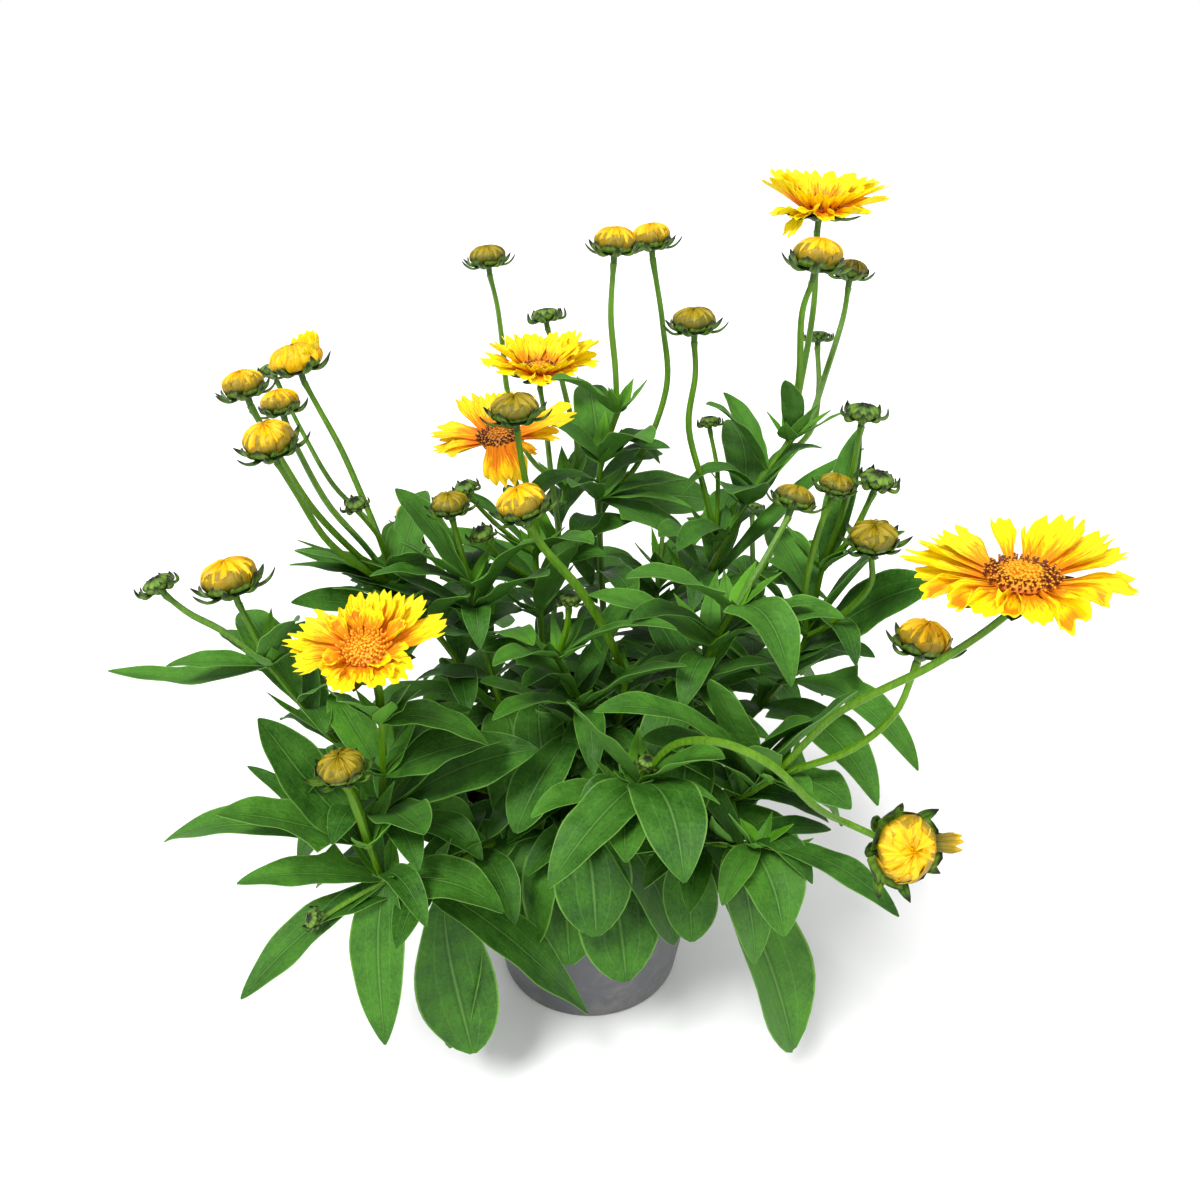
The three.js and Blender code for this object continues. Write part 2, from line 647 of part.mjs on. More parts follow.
/** Both faces of a blade are split alike: the lower two sides have the mirrored diagonal. */
const bladeSplit = (k) => k >= 2;

/** The rings of a bud's dome from its seat upwards. */
function domeRings(base, axis, radius, height) {
  const [u, v] = squareTo(axis);
  const profile = [[0.68, 0], [1, 0.42], [0.8, 0.76]];
  return profile.map(([r, h]) => (
    ring(base.clone().addScaledVector(axis, h * height), u, v, BRACTS, r * radius)));
}

/** The closed dome of a bud, with its flat seat. */
function dome(base, axis, radius, height) {
  return loft(domeRings(base, axis, radius, height), base.clone().addScaledVector(axis, height));
}

/** A low dome of florets: rings of knobs, raised by turns. */
function floretDome(base, axis, radius) {
  const [u, v] = squareTo(axis);
  const profile = [[0.9, 0, 0], [1, 0.18, 0.12], [0.76, 0.3, 0.12], [0.42, 0.32, 0.08]];
  const rings = profile.map(([r, h, knob], row) => {
    const level = base.clone().addScaledVector(axis, h * radius);
    return ring(level, u, v, 12, r * radius).map((p, k) => (
      p.addScaledVector(axis, (k + row) % 2 ? knob * radius : 0)));
  });
  return loft(rings, base.clone().addScaledVector(axis, 0.36 * radius));
}

/** Grows the underside of a head from a stalk's last ring: a ring of corners at a radius. */
function growUnderside(body, foot, base, axis, radius) {
  const [u, v] = squareTo(axis);
  const under = body.ring(ring(base, u, v, BRACTS, radius));
  foot.forEach((f0, k) => {
    const f1 = foot[(k + 1) % STALK.sides];
    const [n0, n1, n2] = [under[2 * k], under[2 * k + 1], under[(2 * k + 2) % BRACTS]];
    body.index.push(f0, f1, n1, f0, n1, n0, f1, n2, n1);
  });
  return under;
}

/** Grows the bracts of a head: a small disc with a narrow pointed bract on each side. */
function growCalyx(body, foot, base, axis, radius, rise) {
  const [u, v] = squareTo(axis);
  const level = (h) => base.clone().addScaledVector(axis, h);
  const under = growUnderside(body, foot, base, axis, CALYX.notch * radius);
  const over = body.ring(ring(level(CALYX.floor), u, v, BRACTS, CALYX.notch * radius));
  const tips = body.ring(ring(level(rise * radius), u, v, BRACTS, CALYX.tip * radius, 0.5));
  tips.forEach((tip, k) => {
    const next = (k + 1) % BRACTS;
    const [a, b, c, d] = [under[k], under[next], over[next], over[k]];
    body.index.push(a, b, tip, b, c, tip, c, d, tip, d, a, tip);
  });
  body.cap(over);
}

/** Grows a closed green bud, wavy where its bracts curl in. */
function growGreenBud(body, foot, base, axis, radius) {
  const [u, v] = squareTo(axis);
  const level = (h) => base.clone().addScaledVector(axis, h * radius);
  const under = growUnderside(body, foot, base, axis, CALYX.notch * radius);
  const wide = body.ring(ring(level(0.7), u, v, BRACTS, radius).map((p, k) => (
    p.addScaledVector(axis, k % 2 ? 0.3 * radius : 0))));
  body.band(under, wide);
  body.point(wide, level(1.3));
}

/** Grows one toothed petal from a socket: it rises and curls, and is thickest along its middle. */
function growPetal(body, loop, base, axis, outward, length, width, lift) {
  const across = new THREE.Vector3().crossVectors(axis, outward);
  const [rise, reach] = [Math.sin(radians(lift)), Math.cos(radians(lift))];
  const along = outward.clone().multiplyScalar(reach).addScaledVector(axis, rise);
  const normal = axis.clone().multiplyScalar(reach).addScaledVector(outward, -rise);
  const place = (s, w, half = 0) => base.clone()
    .addScaledVector(along, length * s)
    .addScaledVector(normal, half + PETAL.cup * width * w * w - PETAL.curl * length * s * s)
    .addScaledVector(across, (w * width) / 2);
  const row = (s, w, half) => [place(s, w), place(s, 0, half), place(s, -w), place(s, 0, -half)];
  const waist = body.ring(row(0.42, 0.66, PETAL.thickness / 2));
  const corners = [loop[1], loop[2], loop[3], loop[0]];
  corners.forEach((corner, k) => {
    const next = corners[(k + 1) % 4];
    body.index.push(corner, next, waist[k], next, waist[(k + 1) % 4], waist[k]);
  });
  const wide = body.ring(row(0.8, 1, PETAL.thickness / 2));
  body.band(waist, wide, bladeSplit);
  const teeth = [[0.96, 0.62], [0.88, 0.3], [1, 0], [0.88, -0.3], [0.96, -0.62]];
  const rim = [wide[0], ...body.ring(teeth.map(([s, w]) => place(s, w))), wide[2]];
  for (let k = 1; k < rim.length; k += 1) {
    body.index.push(wide[1], rim[k], rim[k - 1], wide[3], rim[k - 1], rim[k]);
  }
}

/** A hub through three rings of radii, with petals in two rows by turns. */
function flower(base, axis, radii, slots, petalAt, domeHeight = 0) {
  const [u, v] = squareTo(axis);
  const level = (h) => base.clone().addScaledVector(axis, h);
  const body = new Growth();
  const rings = radii.map((radius, i) => (
    body.ring(ring(level((i * PETAL.hub) / 2), u, v, slots, radius))));
  body.cap(rings[0], true);
  if (domeHeight) body.point(rings[2], level(PETAL.hub + domeHeight));
  else body.cap(rings[2]);
  for (const row of [0, 1]) {
    const isOpen = (slot) => slot % 2 === row && petalAt(slot) !== null;
    for (const [slot, loop] of body.openBand(rings[row], rings[row + 1], isOpen)) {
      const angle = ((slot + 0.5) / slots) * 2 * Math.PI;
      const outward = u.clone().multiplyScalar(Math.cos(angle)).addScaledVector(v, Math.sin(angle));
      const root = level(((row + 0.5) * PETAL.hub) / 2).addScaledVector(outward, 0.97 * radii[row]);
      growPetal(body, loop, root, axis, outward, ...petalAt(slot));
    }
  }
  return body.solid();
}

/** The petals of an open bloom: two rows by turns, or the fewer, hanging ones of an old bloom. */
function rays(base, axis, head) {
  const radius = head.size / 2;
  const hubRadius = head.disc * 0.5;
  const radii = PETAL.flare.map((share) => share * hubRadius);
  return flower(base, axis, radii, PETAL.slots, (slot) => {
    const wander = ripple(slot) - 0.5;
    const upper = slot % 2;
    const droop = head.old ? -30 * Math.max(0, wander) : 0;
    const reach = (radius - hubRadius) / Math.cos(radians(head.lift));
    const length = reach * (upper ? 0.88 : 1) * (0.97 + 0.08 * wander);
    const width = radius * (head.old ? 0.36 : 0.46) * (1 - 0.1 * wander);
    if (head.old && slot % 4 === 1) return null;
    return [length, width, head.lift + (upper ? 22 : 0) + 6 * wander + droop];
  });
}

/** A half-open bloom: petals that stand up in two rows round a closed middle. */
function cup(base, axis, head) {
  const radius = head.size / 2;
  const radii = PETAL.close.map((share) => share * radius);
  return flower(base, axis, radii, PETAL.halfSlots, (slot) => (
    [radius * (slot % 2 ? 0.95 : 1.15), radius * 0.42, slot % 2 ? 74 : 52]), radius * 0.5);
}

// ---------------------------------------------------------------- pot and soil

/** A tapered nursery pot with a deep rim, and drain slots through its base. */
function makePot() {
  const { wall, floor, height, baseRadius, topRadius, rimRadius, rimHeight } = POT;
  const rimFoot = height - rimHeight;
  const outline = [
    [0, 0], [baseRadius - 2, 0], [baseRadius, 2], [topRadius, rimFoot], [rimRadius, rimFoot + 1],
    [rimRadius, height - 1], [rimRadius - 1, height], [rimRadius - wall, height],
    [topRadius - wall, rimFoot], [baseRadius - wall, floor], [0, floor],
  ];
  const turned = new THREE.LatheGeometry(outline.map(([r, z]) => new THREE.Vector2(r, z)),
    POT.segments);
  let pot = toSolid(turned.rotateX(Math.PI / 2));
  const slot = new THREE.BoxGeometry(POT.slotLength, POT.slotWidth, 4 * floor);
  for (let k = 0; k < POT.slots; k += 1) {
    const cutter = slot.clone().translate(POT.slotFrom + POT.slotLength / 2, 0, 0)
      .rotateZ((k / POT.slots) * 2 * Math.PI);
    pot = pot.subtract(toSolid(cutter));
  }
  return pot;
}

/** The soil that fills the pot, lumpy on top, with a plain hole round each shoot. */
function makeSoil(shoots) {
  const slope = (POT.topRadius - POT.baseRadius) / (POT.height - POT.rimHeight);
  const inner = (z) => POT.baseRadius + slope * z - POT.wall - 2.5 * GAP;
  const n = SOIL.segments;
  const disc = (radius, z) => ring(vec([0, 0, z]), vec([1, 0, 0]), vec([0, 1, 0]), n, radius);
  const low = POT.floor + GAP;
  const high = POT.height - POT.rimHeight - 1;
  const rings = [disc(inner(low) - 1, low), disc(inner(high), high)];
  SOIL.rings.forEach((share, row) => {
    rings.push(disc(share * POT.topRadius, SOIL.top).map((p, k) => (
      p.setZ(SOIL.top + SOIL.lump * Math.sin(2.4 * k + 1.7 * row)))));
  });
  const holes = shoots.map((shoot) => {
    const curve = course(shoot.axis);
    const radius = shoot.girth / 2 + GAP + 0.15;
    const shares = axisShares(shoot).slice(0, 2);
    const [foot, mouth] = stemRings(curve, shares, STEM.sides, () => radius);
    const drop = curve.getTangent(0).multiplyScalar(GAP);
    return loft([foot.map((p) => p.sub(drop)), mouth]);
  });
  return loft(rings, vec([0, 0, SOIL.top])).subtract(wasm.Manifold.union(holes));
}

// ---------------------------------------------------------------- growing the plant

const plant = new THREE.Group();
const placed = []; // what stands so far: its owner, its solid, its solid off the root, its box

/** Remembers a solid as something that later leaves keep clear of. */
function stand(owner, solid, offRoot = solid) {
  const { min, max } = solid.boundingBox();
  placed.push({ owner, solid, offRoot, min, max });
  return solid;
}

/** True where a leaf keeps its distance, from its own shoot's parts only beyond its root. */
function isClear(owner, leaf, offRoot) {
  const { min, max } = leaf.boundingBox();
  return placed.every((other) => {
    const apart = [0, 1, 2].some((i) => (
      min[i] > other.max[i] + CLEARANCE || max[i] < other.min[i] - CLEARANCE));
    if (apart) return true;
    const [a, b] = other.owner === owner ? [offRoot, other.offRoot] : [leaf, other.solid];
    return a.minGap(b, 1) >= CLEARANCE;
  });
}

/** Adds a named mesh of a solid in one of the finishes. */
function addMesh(name, solid, finish) {
  const [color, roughness] = FINISH[finish];
  const material = new THREE.MeshStandardMaterial({ color, roughness, metalness: 0 });
  const mesh = new THREE.Mesh(toGeometry(solid), material);
  mesh.name = name;
  plant.add(mesh);
}

/** Further opposite pairs by rule, at half joints, each pair turned a quarter from the last. */
function ruledLeaves(shoot, index) {
  const last = shoot.axis.length - 1;
  const leaves = [];
  for (let pair = 0; pair < shoot.pairs; pair += 1) {
    const share = (pair + 0.4 + 0.4 * ripple(pair, index)) / shoot.pairs;
    const joint = Math.min(last, Math.round(2 * (1.2 + (last - 1.2) * share)) / 2);
    const turn = 360 * ripple(index, 1) + 90 * pair;
    const reach = 66 - 24 * share;
    const low = share < 0.4;
    for (const way of [0, 180]) {
      const angle = radians(turn + way + 30 * (ripple(pair, way ? 2 : 1) - 0.5));
      const tip = jointAt(shoot, joint).add(vec([
        reach * Math.cos(angle), reach * Math.sin(angle), low ? -14 : 16 + 10 * share]));
      leaves.push([joint, tip.toArray(), low ? 14 : 5, 25 - 9 * share, low ? 'spoon' : 'lance']);
    }
  }
  return leaves;
}

/** A leaf from its joint in the first bend that stands clear, or null if there is no room. */
function growLeaf(shoot, [joint, tipAt, arch, width, kind, roll = 0], given) {
  const rows = given && width > BLADE.wide ? BLADE.rows : BLADE.fewRows;
  const root = jointAt(shoot, joint);
  const tip = vec(tipAt);
  for (const [lift, swing] of BENDS) {
    const bent = tip.clone().sub(root).applyAxisAngle(UP, radians(swing)).add(root);
    bent.z += lift;
    const rings = bladeRings(root, bent, arch, width, kind, rows, roll);
    const leaf = loft(rings, bent, root, bladeSplit);
    const offRoot = loft(rings, bent, null, bladeSplit);
    if (bent.z > 4 && isClear(shoot.name, leaf, offRoot)) return stand(shoot.name, leaf, offRoot);
  }
  return null;
}

/** A stalk with the green parts of its head; the coloured parts become nodes of their own. */
function growStalk(shoot, { from, way, radius = STALK.radius, head }) {
  const start = jointAt(shoot, from);
  const end = vec(way[way.length - 1]);
  const curve = course([start.toArray(), ...way]);
  const axis = head.lean ? vec(head.lean).normalize()
    : curve.getTangent(1).lerp(UP, 0.5).normalize();
  const [share, rise] = BRACT_OF[head.old ? 'old' : head.kind];
  const bract = share * head.size;

  const shares = way.map((_, k) => k / way.length);
  const rings = stemRings(curve, shares, STALK.sides, (t) => (t > 0 ? radius : STALK.start));
  const [u, v] = squareTo(axis);
  const base = end.clone().addScaledVector(axis, CALYX.drop * bract);
  rings.push(ring(end, u, v, STALK.sides, radius * 1.1));
  const body = new Growth();
  let numbers = body.ring(rings[0]);
  body.cap(numbers, true);
  for (const points of rings.slice(1)) numbers = body.start(numbers, points);
  if (head.kind === 'green') growGreenBud(body, numbers, base, axis, bract);
  else growCalyx(body, numbers, base, axis, bract, rise);
  const stalk = body.solid();
  stand(shoot.name, stalk, stalk.trimByPlane(curve.getTangent(0).toArray(),
    curve.getTangent(0).dot(start) + 6));

  const seat = base.clone().addScaledVector(axis, CALYX.floor + GAP);
  const parts = [];
  if (head.kind === 'bud') {
    parts.push([`bud_${head.name}`, dome(seat, axis, bract, bract * 1.25), head.colour]);
  } else if (head.kind === 'half') {
    parts.push([`petals_${head.name}`, cup(seat, axis, head), 'ray']);
  } else if (head.kind === 'bloom') {
    const onHub = seat.clone().addScaledVector(axis, PETAL.hub + GAP);
    parts.push([`petals_${head.name}`, rays(seat, axis, head), head.old ? 'rayOld' : 'ray']);
    parts.push([`disc_${head.name}`, floretDome(onHub, axis, head.disc * 0.48), 'disc']);
  }
  for (const [name, solid, finish] of parts) addMesh(name, stand(name, solid), finish);
  return stalk;
}

/** The bare axis of a shoot, which ends in a point past its last joint. */
function growAxis(shoot) {
  const radiusAt = (t) => (shoot.girth / 2) * (1 - (1 - STEM.taper) * t);
  const curve = course(shoot.axis);
  const rings = stemRings(curve, axisShares(shoot), STEM.sides, radiusAt);
  const apex = curve.getPoint(1).addScaledVector(curve.getTangent(1), STEM.end);
  return stand(shoot.name, loft(rings, apex));
}

addMesh('pot', stand('pot', makePot()), 'pot');
addMesh('soil', stand('soil', makeSoil(SHOOTS)), 'soil');

const grown = SHOOTS.map((shoot) => ({ shoot, solids: [growAxis(shoot)] }));
for (const { shoot, solids } of grown) {
  for (const stalk of shoot.stalks) solids.push(growStalk(shoot, stalk));
}
for (const { shoot, solids } of grown) {
  for (const leaf of shoot.leaves) {
    const blade = growLeaf(shoot, leaf, true);
    if (blade) solids.push(blade);
  }
}
grown.forEach(({ shoot, solids }, index) => {
  for (const leaf of ruledLeaves(shoot, index)) {
    const blade = growLeaf(shoot, leaf, false);
    if (blade) solids.push(blade);
  }
});
for (const { shoot, solids } of grown) addMesh(shoot.name, fuse(solids), 'leaf');

export default plant;
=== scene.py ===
"""Looks of a potted coreopsis: finer leaves, stems, blooms, buds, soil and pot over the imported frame.

The shapes are worked out in millimetres, from the same named sizes and places as the solids of the
frame, and become metres when they are put into a mesh. +Z is up, the origin is the middle of the
pot's base, and the fullest side of the plant faces -Y.
"""

import logging
from dataclasses import astuple, dataclass
from enum import Enum

import bpy
import numpy as np
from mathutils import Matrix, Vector
from numpy.typing import NDArray

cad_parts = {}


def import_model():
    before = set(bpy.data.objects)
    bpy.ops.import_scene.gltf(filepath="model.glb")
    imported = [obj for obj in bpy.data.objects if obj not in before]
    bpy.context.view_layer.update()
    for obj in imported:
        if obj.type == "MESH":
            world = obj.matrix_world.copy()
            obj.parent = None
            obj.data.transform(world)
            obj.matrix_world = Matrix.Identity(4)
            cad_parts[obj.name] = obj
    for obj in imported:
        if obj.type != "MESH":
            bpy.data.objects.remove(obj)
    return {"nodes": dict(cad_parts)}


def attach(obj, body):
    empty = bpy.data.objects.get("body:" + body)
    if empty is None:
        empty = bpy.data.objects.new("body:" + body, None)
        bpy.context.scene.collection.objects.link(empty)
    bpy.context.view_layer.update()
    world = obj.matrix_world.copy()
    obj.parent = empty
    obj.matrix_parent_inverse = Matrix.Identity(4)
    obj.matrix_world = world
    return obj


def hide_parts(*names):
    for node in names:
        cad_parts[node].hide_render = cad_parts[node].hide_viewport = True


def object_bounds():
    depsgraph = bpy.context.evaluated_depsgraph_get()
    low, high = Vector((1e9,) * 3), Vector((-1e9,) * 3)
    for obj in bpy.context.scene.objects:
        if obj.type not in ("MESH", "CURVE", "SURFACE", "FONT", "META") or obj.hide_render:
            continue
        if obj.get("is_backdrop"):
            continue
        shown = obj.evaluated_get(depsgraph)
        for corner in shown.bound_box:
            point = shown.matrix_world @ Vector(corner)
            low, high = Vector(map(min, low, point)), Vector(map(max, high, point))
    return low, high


log = logging.getLogger("coreopsis")

Array = NDArray[np.float64]
Numbers = NDArray[np.int64]
Point = tuple[float, float, float]
Colour = tuple[int, int, int]
Material, Socket = bpy.types.Material, bpy.types.NodeSocket
Thing, Tree = bpy.types.Object, bpy.types.NodeTree

MM = 0.001
UP = np.array([0.0, 0.0, 1.0])
GOLDEN_ANGLE = np.radians(137.508)
GOLDEN_STEP = 0.618034
SMALL_STEP = 0.381966


# ---------------------------------------------------------------- small mathematics


def ripple(i: float, k: int = 0) -> float:
    """An even but irregular series from 0 to 1: golden steps by i and small ones by k, modulo 1."""
    return ((i + 1) * GOLDEN_STEP + k * SMALL_STEP) % 1.0


def ripples(count: int, k: int = 0) -> Array:
    """The first values of the ripple series as an array."""
    return ripple(np.arange(count), k)


def ripple_of(seed: Array, k: int = 0) -> Array:
    """A further even number between 0 and 1 for each seed: 37 times the seed plus k small steps."""
    return (37.0 * seed + k * SMALL_STEP) % 1.0


def unit(vectors: Array) -> Array:
    """Vectors divided by their length, along the last axis."""
    return vectors / np.maximum(np.linalg.norm(vectors, axis=-1, keepdims=True), 1e-12)


def square_to(axis: Array) -> tuple[Array, Array]:
    """Two directions square to an axis, so that side, lift and axis are right-handed."""
    side = np.cross(UP, axis)
    if np.linalg.norm(side) < 1e-3:
        side = np.array([1.0, 0.0, 0.0])
    side = unit(side)
    return side, unit(np.cross(axis, side))


def bell(x: Array, width: float) -> Array:
    """A smooth hump: e to the power of minus the square of x over width."""
    return np.exp(-np.square(x / width))


def ring_of(sides: int) -> Array:
    """The angles of evenly spaced points round a ring, from 0."""
    return np.linspace(0, 2 * np.pi, sides, endpoint=False)


def bow(share: Array, a: Array, b: Array, c: Array) -> tuple[Array, Array]:
    """The square curve (1-s)^2 a + 2 s (1-s) b + s^2 c, and its way (1-s)(b-a) + s(c-b)."""
    left = 1 - share
    return left**2 * a + 2 * share * left * b + share**2 * c, left * (b - a) + share * (c - b)


@dataclass(frozen=True)
class Course:
    """A smooth way through points: a Catmull-Rom curve, whose tangents are half the chords beside."""

    points: Array

    @classmethod
    def through(cls, *points: Point | Array) -> "Course":
        """The course through points that are given one by one."""
        return cls(np.array([tuple(point) for point in points], float))

    def at(self, share: Array | float) -> Array:
        """Places on the course.

        Each span is the cubic p1 + m1 w + (3(p2-p1) - 2 m1 - m2) w^2 + (2(p1-p2) + m1 + m2) w^3,
        where m1 and m2 are half the chords beside it.

        Args:
            share: how far along, from 0 to 1, in equal steps from point to point.

        Returns:
            The places, with x, y and z along the last axis.
        """
        last = len(self.points) - 1
        place = np.clip(np.asarray(share, float) * last, 0, last)
        step = np.minimum(place.astype(int), last - 1)
        w = (place - step)[..., None]
        first, final = 2 * self.points[0] - self.points[1], 2 * self.points[-1] - self.points[-2]
        padded = np.vstack([first, self.points, final])
        p0, p1, p2, p3 = (padded[step + k] for k in range(4))
        m1, m2 = 0.5 * (p2 - p0), 0.5 * (p3 - p1)
        square = (3 * (p2 - p1) - 2 * m1 - m2) * w**2
        return p1 + m1 * w + square + (2 * (p1 - p2) + m1 + m2) * w**3

    def along(self, share: Array | float) -> Array:
        """Directions of the course at shares of it, from the difference of two near places."""
        share = np.asarray(share, float)
        return unit(self.at(np.minimum(share + 1e-4, 1)) - self.at(np.maximum(share - 1e-4, 0)))

    def length(self) -> float:
        """The length of the course, summed over 60 chords."""
        return float(np.linalg.norm(np.diff(self.at(np.linspace(0, 1, 61)), axis=0), axis=1).sum())


# ---------------------------------------------------------------- meshes from arrays


@dataclass(frozen=True)
class Surface:
    """Points (n, 3), faces (m, 4; -1 marks a triangle's missing corner) and flow (n, 3) of a surface.

    Flow says where a point lies on its blade, tube or dome: along it, across it, and on which face.
    """

    points: Array
    faces: Numbers
    flow: Array


def grid_faces(rows: int, columns: int, around: bool = False) -> Numbers:
    """Four-cornered faces of a grid of points.

    Args:
        rows: points along the grid.
        columns: points across the grid.
        around: whether the last column meets the first.

    Returns:
        Rows of four point numbers, which turn from the rows' direction towards the columns'.
    """
    i, j = np.meshgrid(np.arange(rows - 1), np.arange(columns - (not around)), indexing="ij")
    k = (j + 1) % columns
    corners = [i * columns + j, (i + 1) * columns + j, (i + 1) * columns + k, i * columns + k]
    return np.stack(corners, axis=-1).reshape(-1, 4)


def copied(faces: Numbers, count: int, stride: int) -> Numbers:
    """The faces of one piece, repeated for copies whose points follow each other by a stride."""
    steps = stride * np.arange(count)[:, None, None]
    return np.where(faces < 0, -1, faces + steps).reshape(-1, 4)


def closed_rings(rings: Array, ends: Array, flow: Array) -> Surface:
    """A closed surface through rings of points, with a fan to one point at each end.

    Args:
        rings: (m, sides, 3) points, which turn right-handed about the way they follow.
        ends: the two points that close the first and the last ring.
        flow: (m, 3) values of the rings.

    Returns:
        The surface, with the two end points last.
    """
    count, sides = rings.shape[:2]
    near, none = np.arange(sides), np.full(sides, -1)
    far = near + (count - 1) * sides
    foot = np.full(sides, count * sides)
    fans = ((foot, np.roll(near, -1), near, none), (far, np.roll(far, -1), foot + 1, none))
    grid = grid_faces(count, sides, around=True)[:, ::-1]
    faces = np.concatenate([grid, *(np.stack(fan, axis=-1) for fan in fans)])
    values = np.concatenate([np.repeat(flow, sides, axis=0), flow[:1], flow[-1:]])
    return Surface(np.concatenate([rings.reshape(-1, 3), ends]), faces, values)


def closed_copies(rings: Array, ends: Array, flow: Array) -> Surface:
    """Many closed surfaces at once: (n, m, sides, 3) rings, (n, 2, 3) ends and the flow of all points."""
    count, levels, sides = rings.shape[:3]
    model = closed_rings(rings[0], ends[0], np.zeros((levels, 3)))
    points = np.concatenate([rings.reshape(count, -1, 3), ends], axis=1)
    faces = copied(model.faces, count, levels * sides + 2)
    return Surface(points.reshape(-1, 3), faces, flow.reshape(-1, 3))


def tube(course: Course, shares: Array, radius: Array, sides: int, ribs: int, depth: float) -> Surface:
    """A ribbed round stem along a course, closed at both ends.

    A ring's points lie at its centre + radius (1 + depth cos(ribs angle)) (side cos + across sin).

    Args:
        course: the way of the stem.
        shares: where on the course its rings stand.
        radius: the radius of each ring.
        sides: points round a ring.
        ribs: how many ribs there are.
        depth: how far they stand out, as a share of the radius.

    Returns:
        The surface, whose flow runs from 0 to 1 along it.
    """
    centre, along = course.at(shares), course.along(shares)
    guide = square_to(unit(along.mean(axis=0)))[0]
    side = unit(guide - along * (along @ guide)[:, None])
    across = np.cross(along, side)
    angle = ring_of(sides)
    reach = radius[:, None] * (1 + depth * np.cos(ribs * angle))
    rings = (
        centre[:, None]
        + side[:, None] * (reach * np.cos(angle))[..., None]
        + across[:, None] * (reach * np.sin(angle))[..., None]
    )
    flow = np.stack([shares, 0 * shares, 0 * shares], axis=-1)
    return closed_rings(rings, [centre[0], centre[-1] + along[-1] * 0.4 * radius[-1]], flow)


def turned(base: Array, axis: Array, profile: Array, sides: int) -> Surface:
    """A closed body of revolution.

    Args:
        base: the point on the axis from which the profile's heights count.
        axis: the direction of the axis.
        profile: (m, 2) radii and heights from the foot to the top; the first and last lie on the axis.
        sides: points round a ring.

    Returns:
        The surface, whose flow runs from 0 at the foot to 1 at the top.
    """
    u, v = square_to(axis)
    angle = ring_of(sides)[:, None]
    round_ = u * np.cos(angle) + v * np.sin(angle)
    radii, heights = profile[1:-1, 0], profile[1:-1, 1]
    rings = base + heights[:, None, None] * axis + radii[:, None, None] * round_
    share = (heights - profile[0, 1]) / (profile[-1, 1] - profile[0, 1])
    flow = np.stack([share, radii / max(radii.max(), 1e-9), 0 * share], axis=-1)
    return closed_rings(rings, base + profile[[0, -1], 1][:, None] * axis, flow)


def shells(sheet: Array, up: Array, above: Array, below: Array, along: Array, across: Array) -> Surface:
    """Thin closed blades from sheets: an upper face, a lower face, and a wall round their edge.

    Args:
        sheet: (n, rows, columns, 3) middles of the blades.
        up: the direction towards the upper face.
        above: how far the upper face stands from the middle.
        below: how far the lower face stands from the middle.
        along: (rows,) share of each row from root to tip.
        across: (columns,) place of each column from -1 to 1.

    Returns:
        All the blades in one surface. Flow's third value is 0 on the upper face and 1 on the lower.
    """
    count, rows, columns = sheet.shape[:3]
    layer = rows * columns
    numbers = np.arange(layer).reshape(rows, columns)
    top = grid_faces(rows, columns)
    edge = np.concatenate([numbers[:, 0], numbers[-1, 1:], numbers[-2::-1, -1], numbers[0, -2:0:-1]])
    ahead = np.roll(edge, -1)
    walls = np.stack([ahead, edge, edge + layer, ahead + layer], axis=-1)
    faces = np.concatenate([top, top[:, ::-1] + layer, walls])
    above, below = np.asarray(above)[..., None], np.asarray(below)[..., None]
    points = np.stack([sheet + up * above, sheet - up * below], axis=1)
    flow = np.empty((count, 2, rows, columns, 3))
    flow[..., 0] = along[:, None]
    flow[..., 1] = across
    flow[:, 0, ..., 2] = 0.0
    flow[:, 1, ..., 2] = 1.0
    return Surface(points.reshape(-1, 3), copied(faces, count, 2 * layer), flow.reshape(-1, 3))


def linked(name: str, data: bpy.types.ID) -> Thing:
    """A new object that shows its data at the origin, linked to the scene."""
    thing = bpy.data.objects.new(name, data)
    bpy.context.scene.collection.objects.link(thing)
    return thing


def fill(rows: bpy.types.bpy_prop_collection, field: str, values: Array) -> None:
    """Puts an array into a field of a mesh's rows, in single precision."""
    kind = np.int32 if values.dtype.kind == "i" else np.float32
    rows.foreach_set(field, values.astype(kind).ravel())


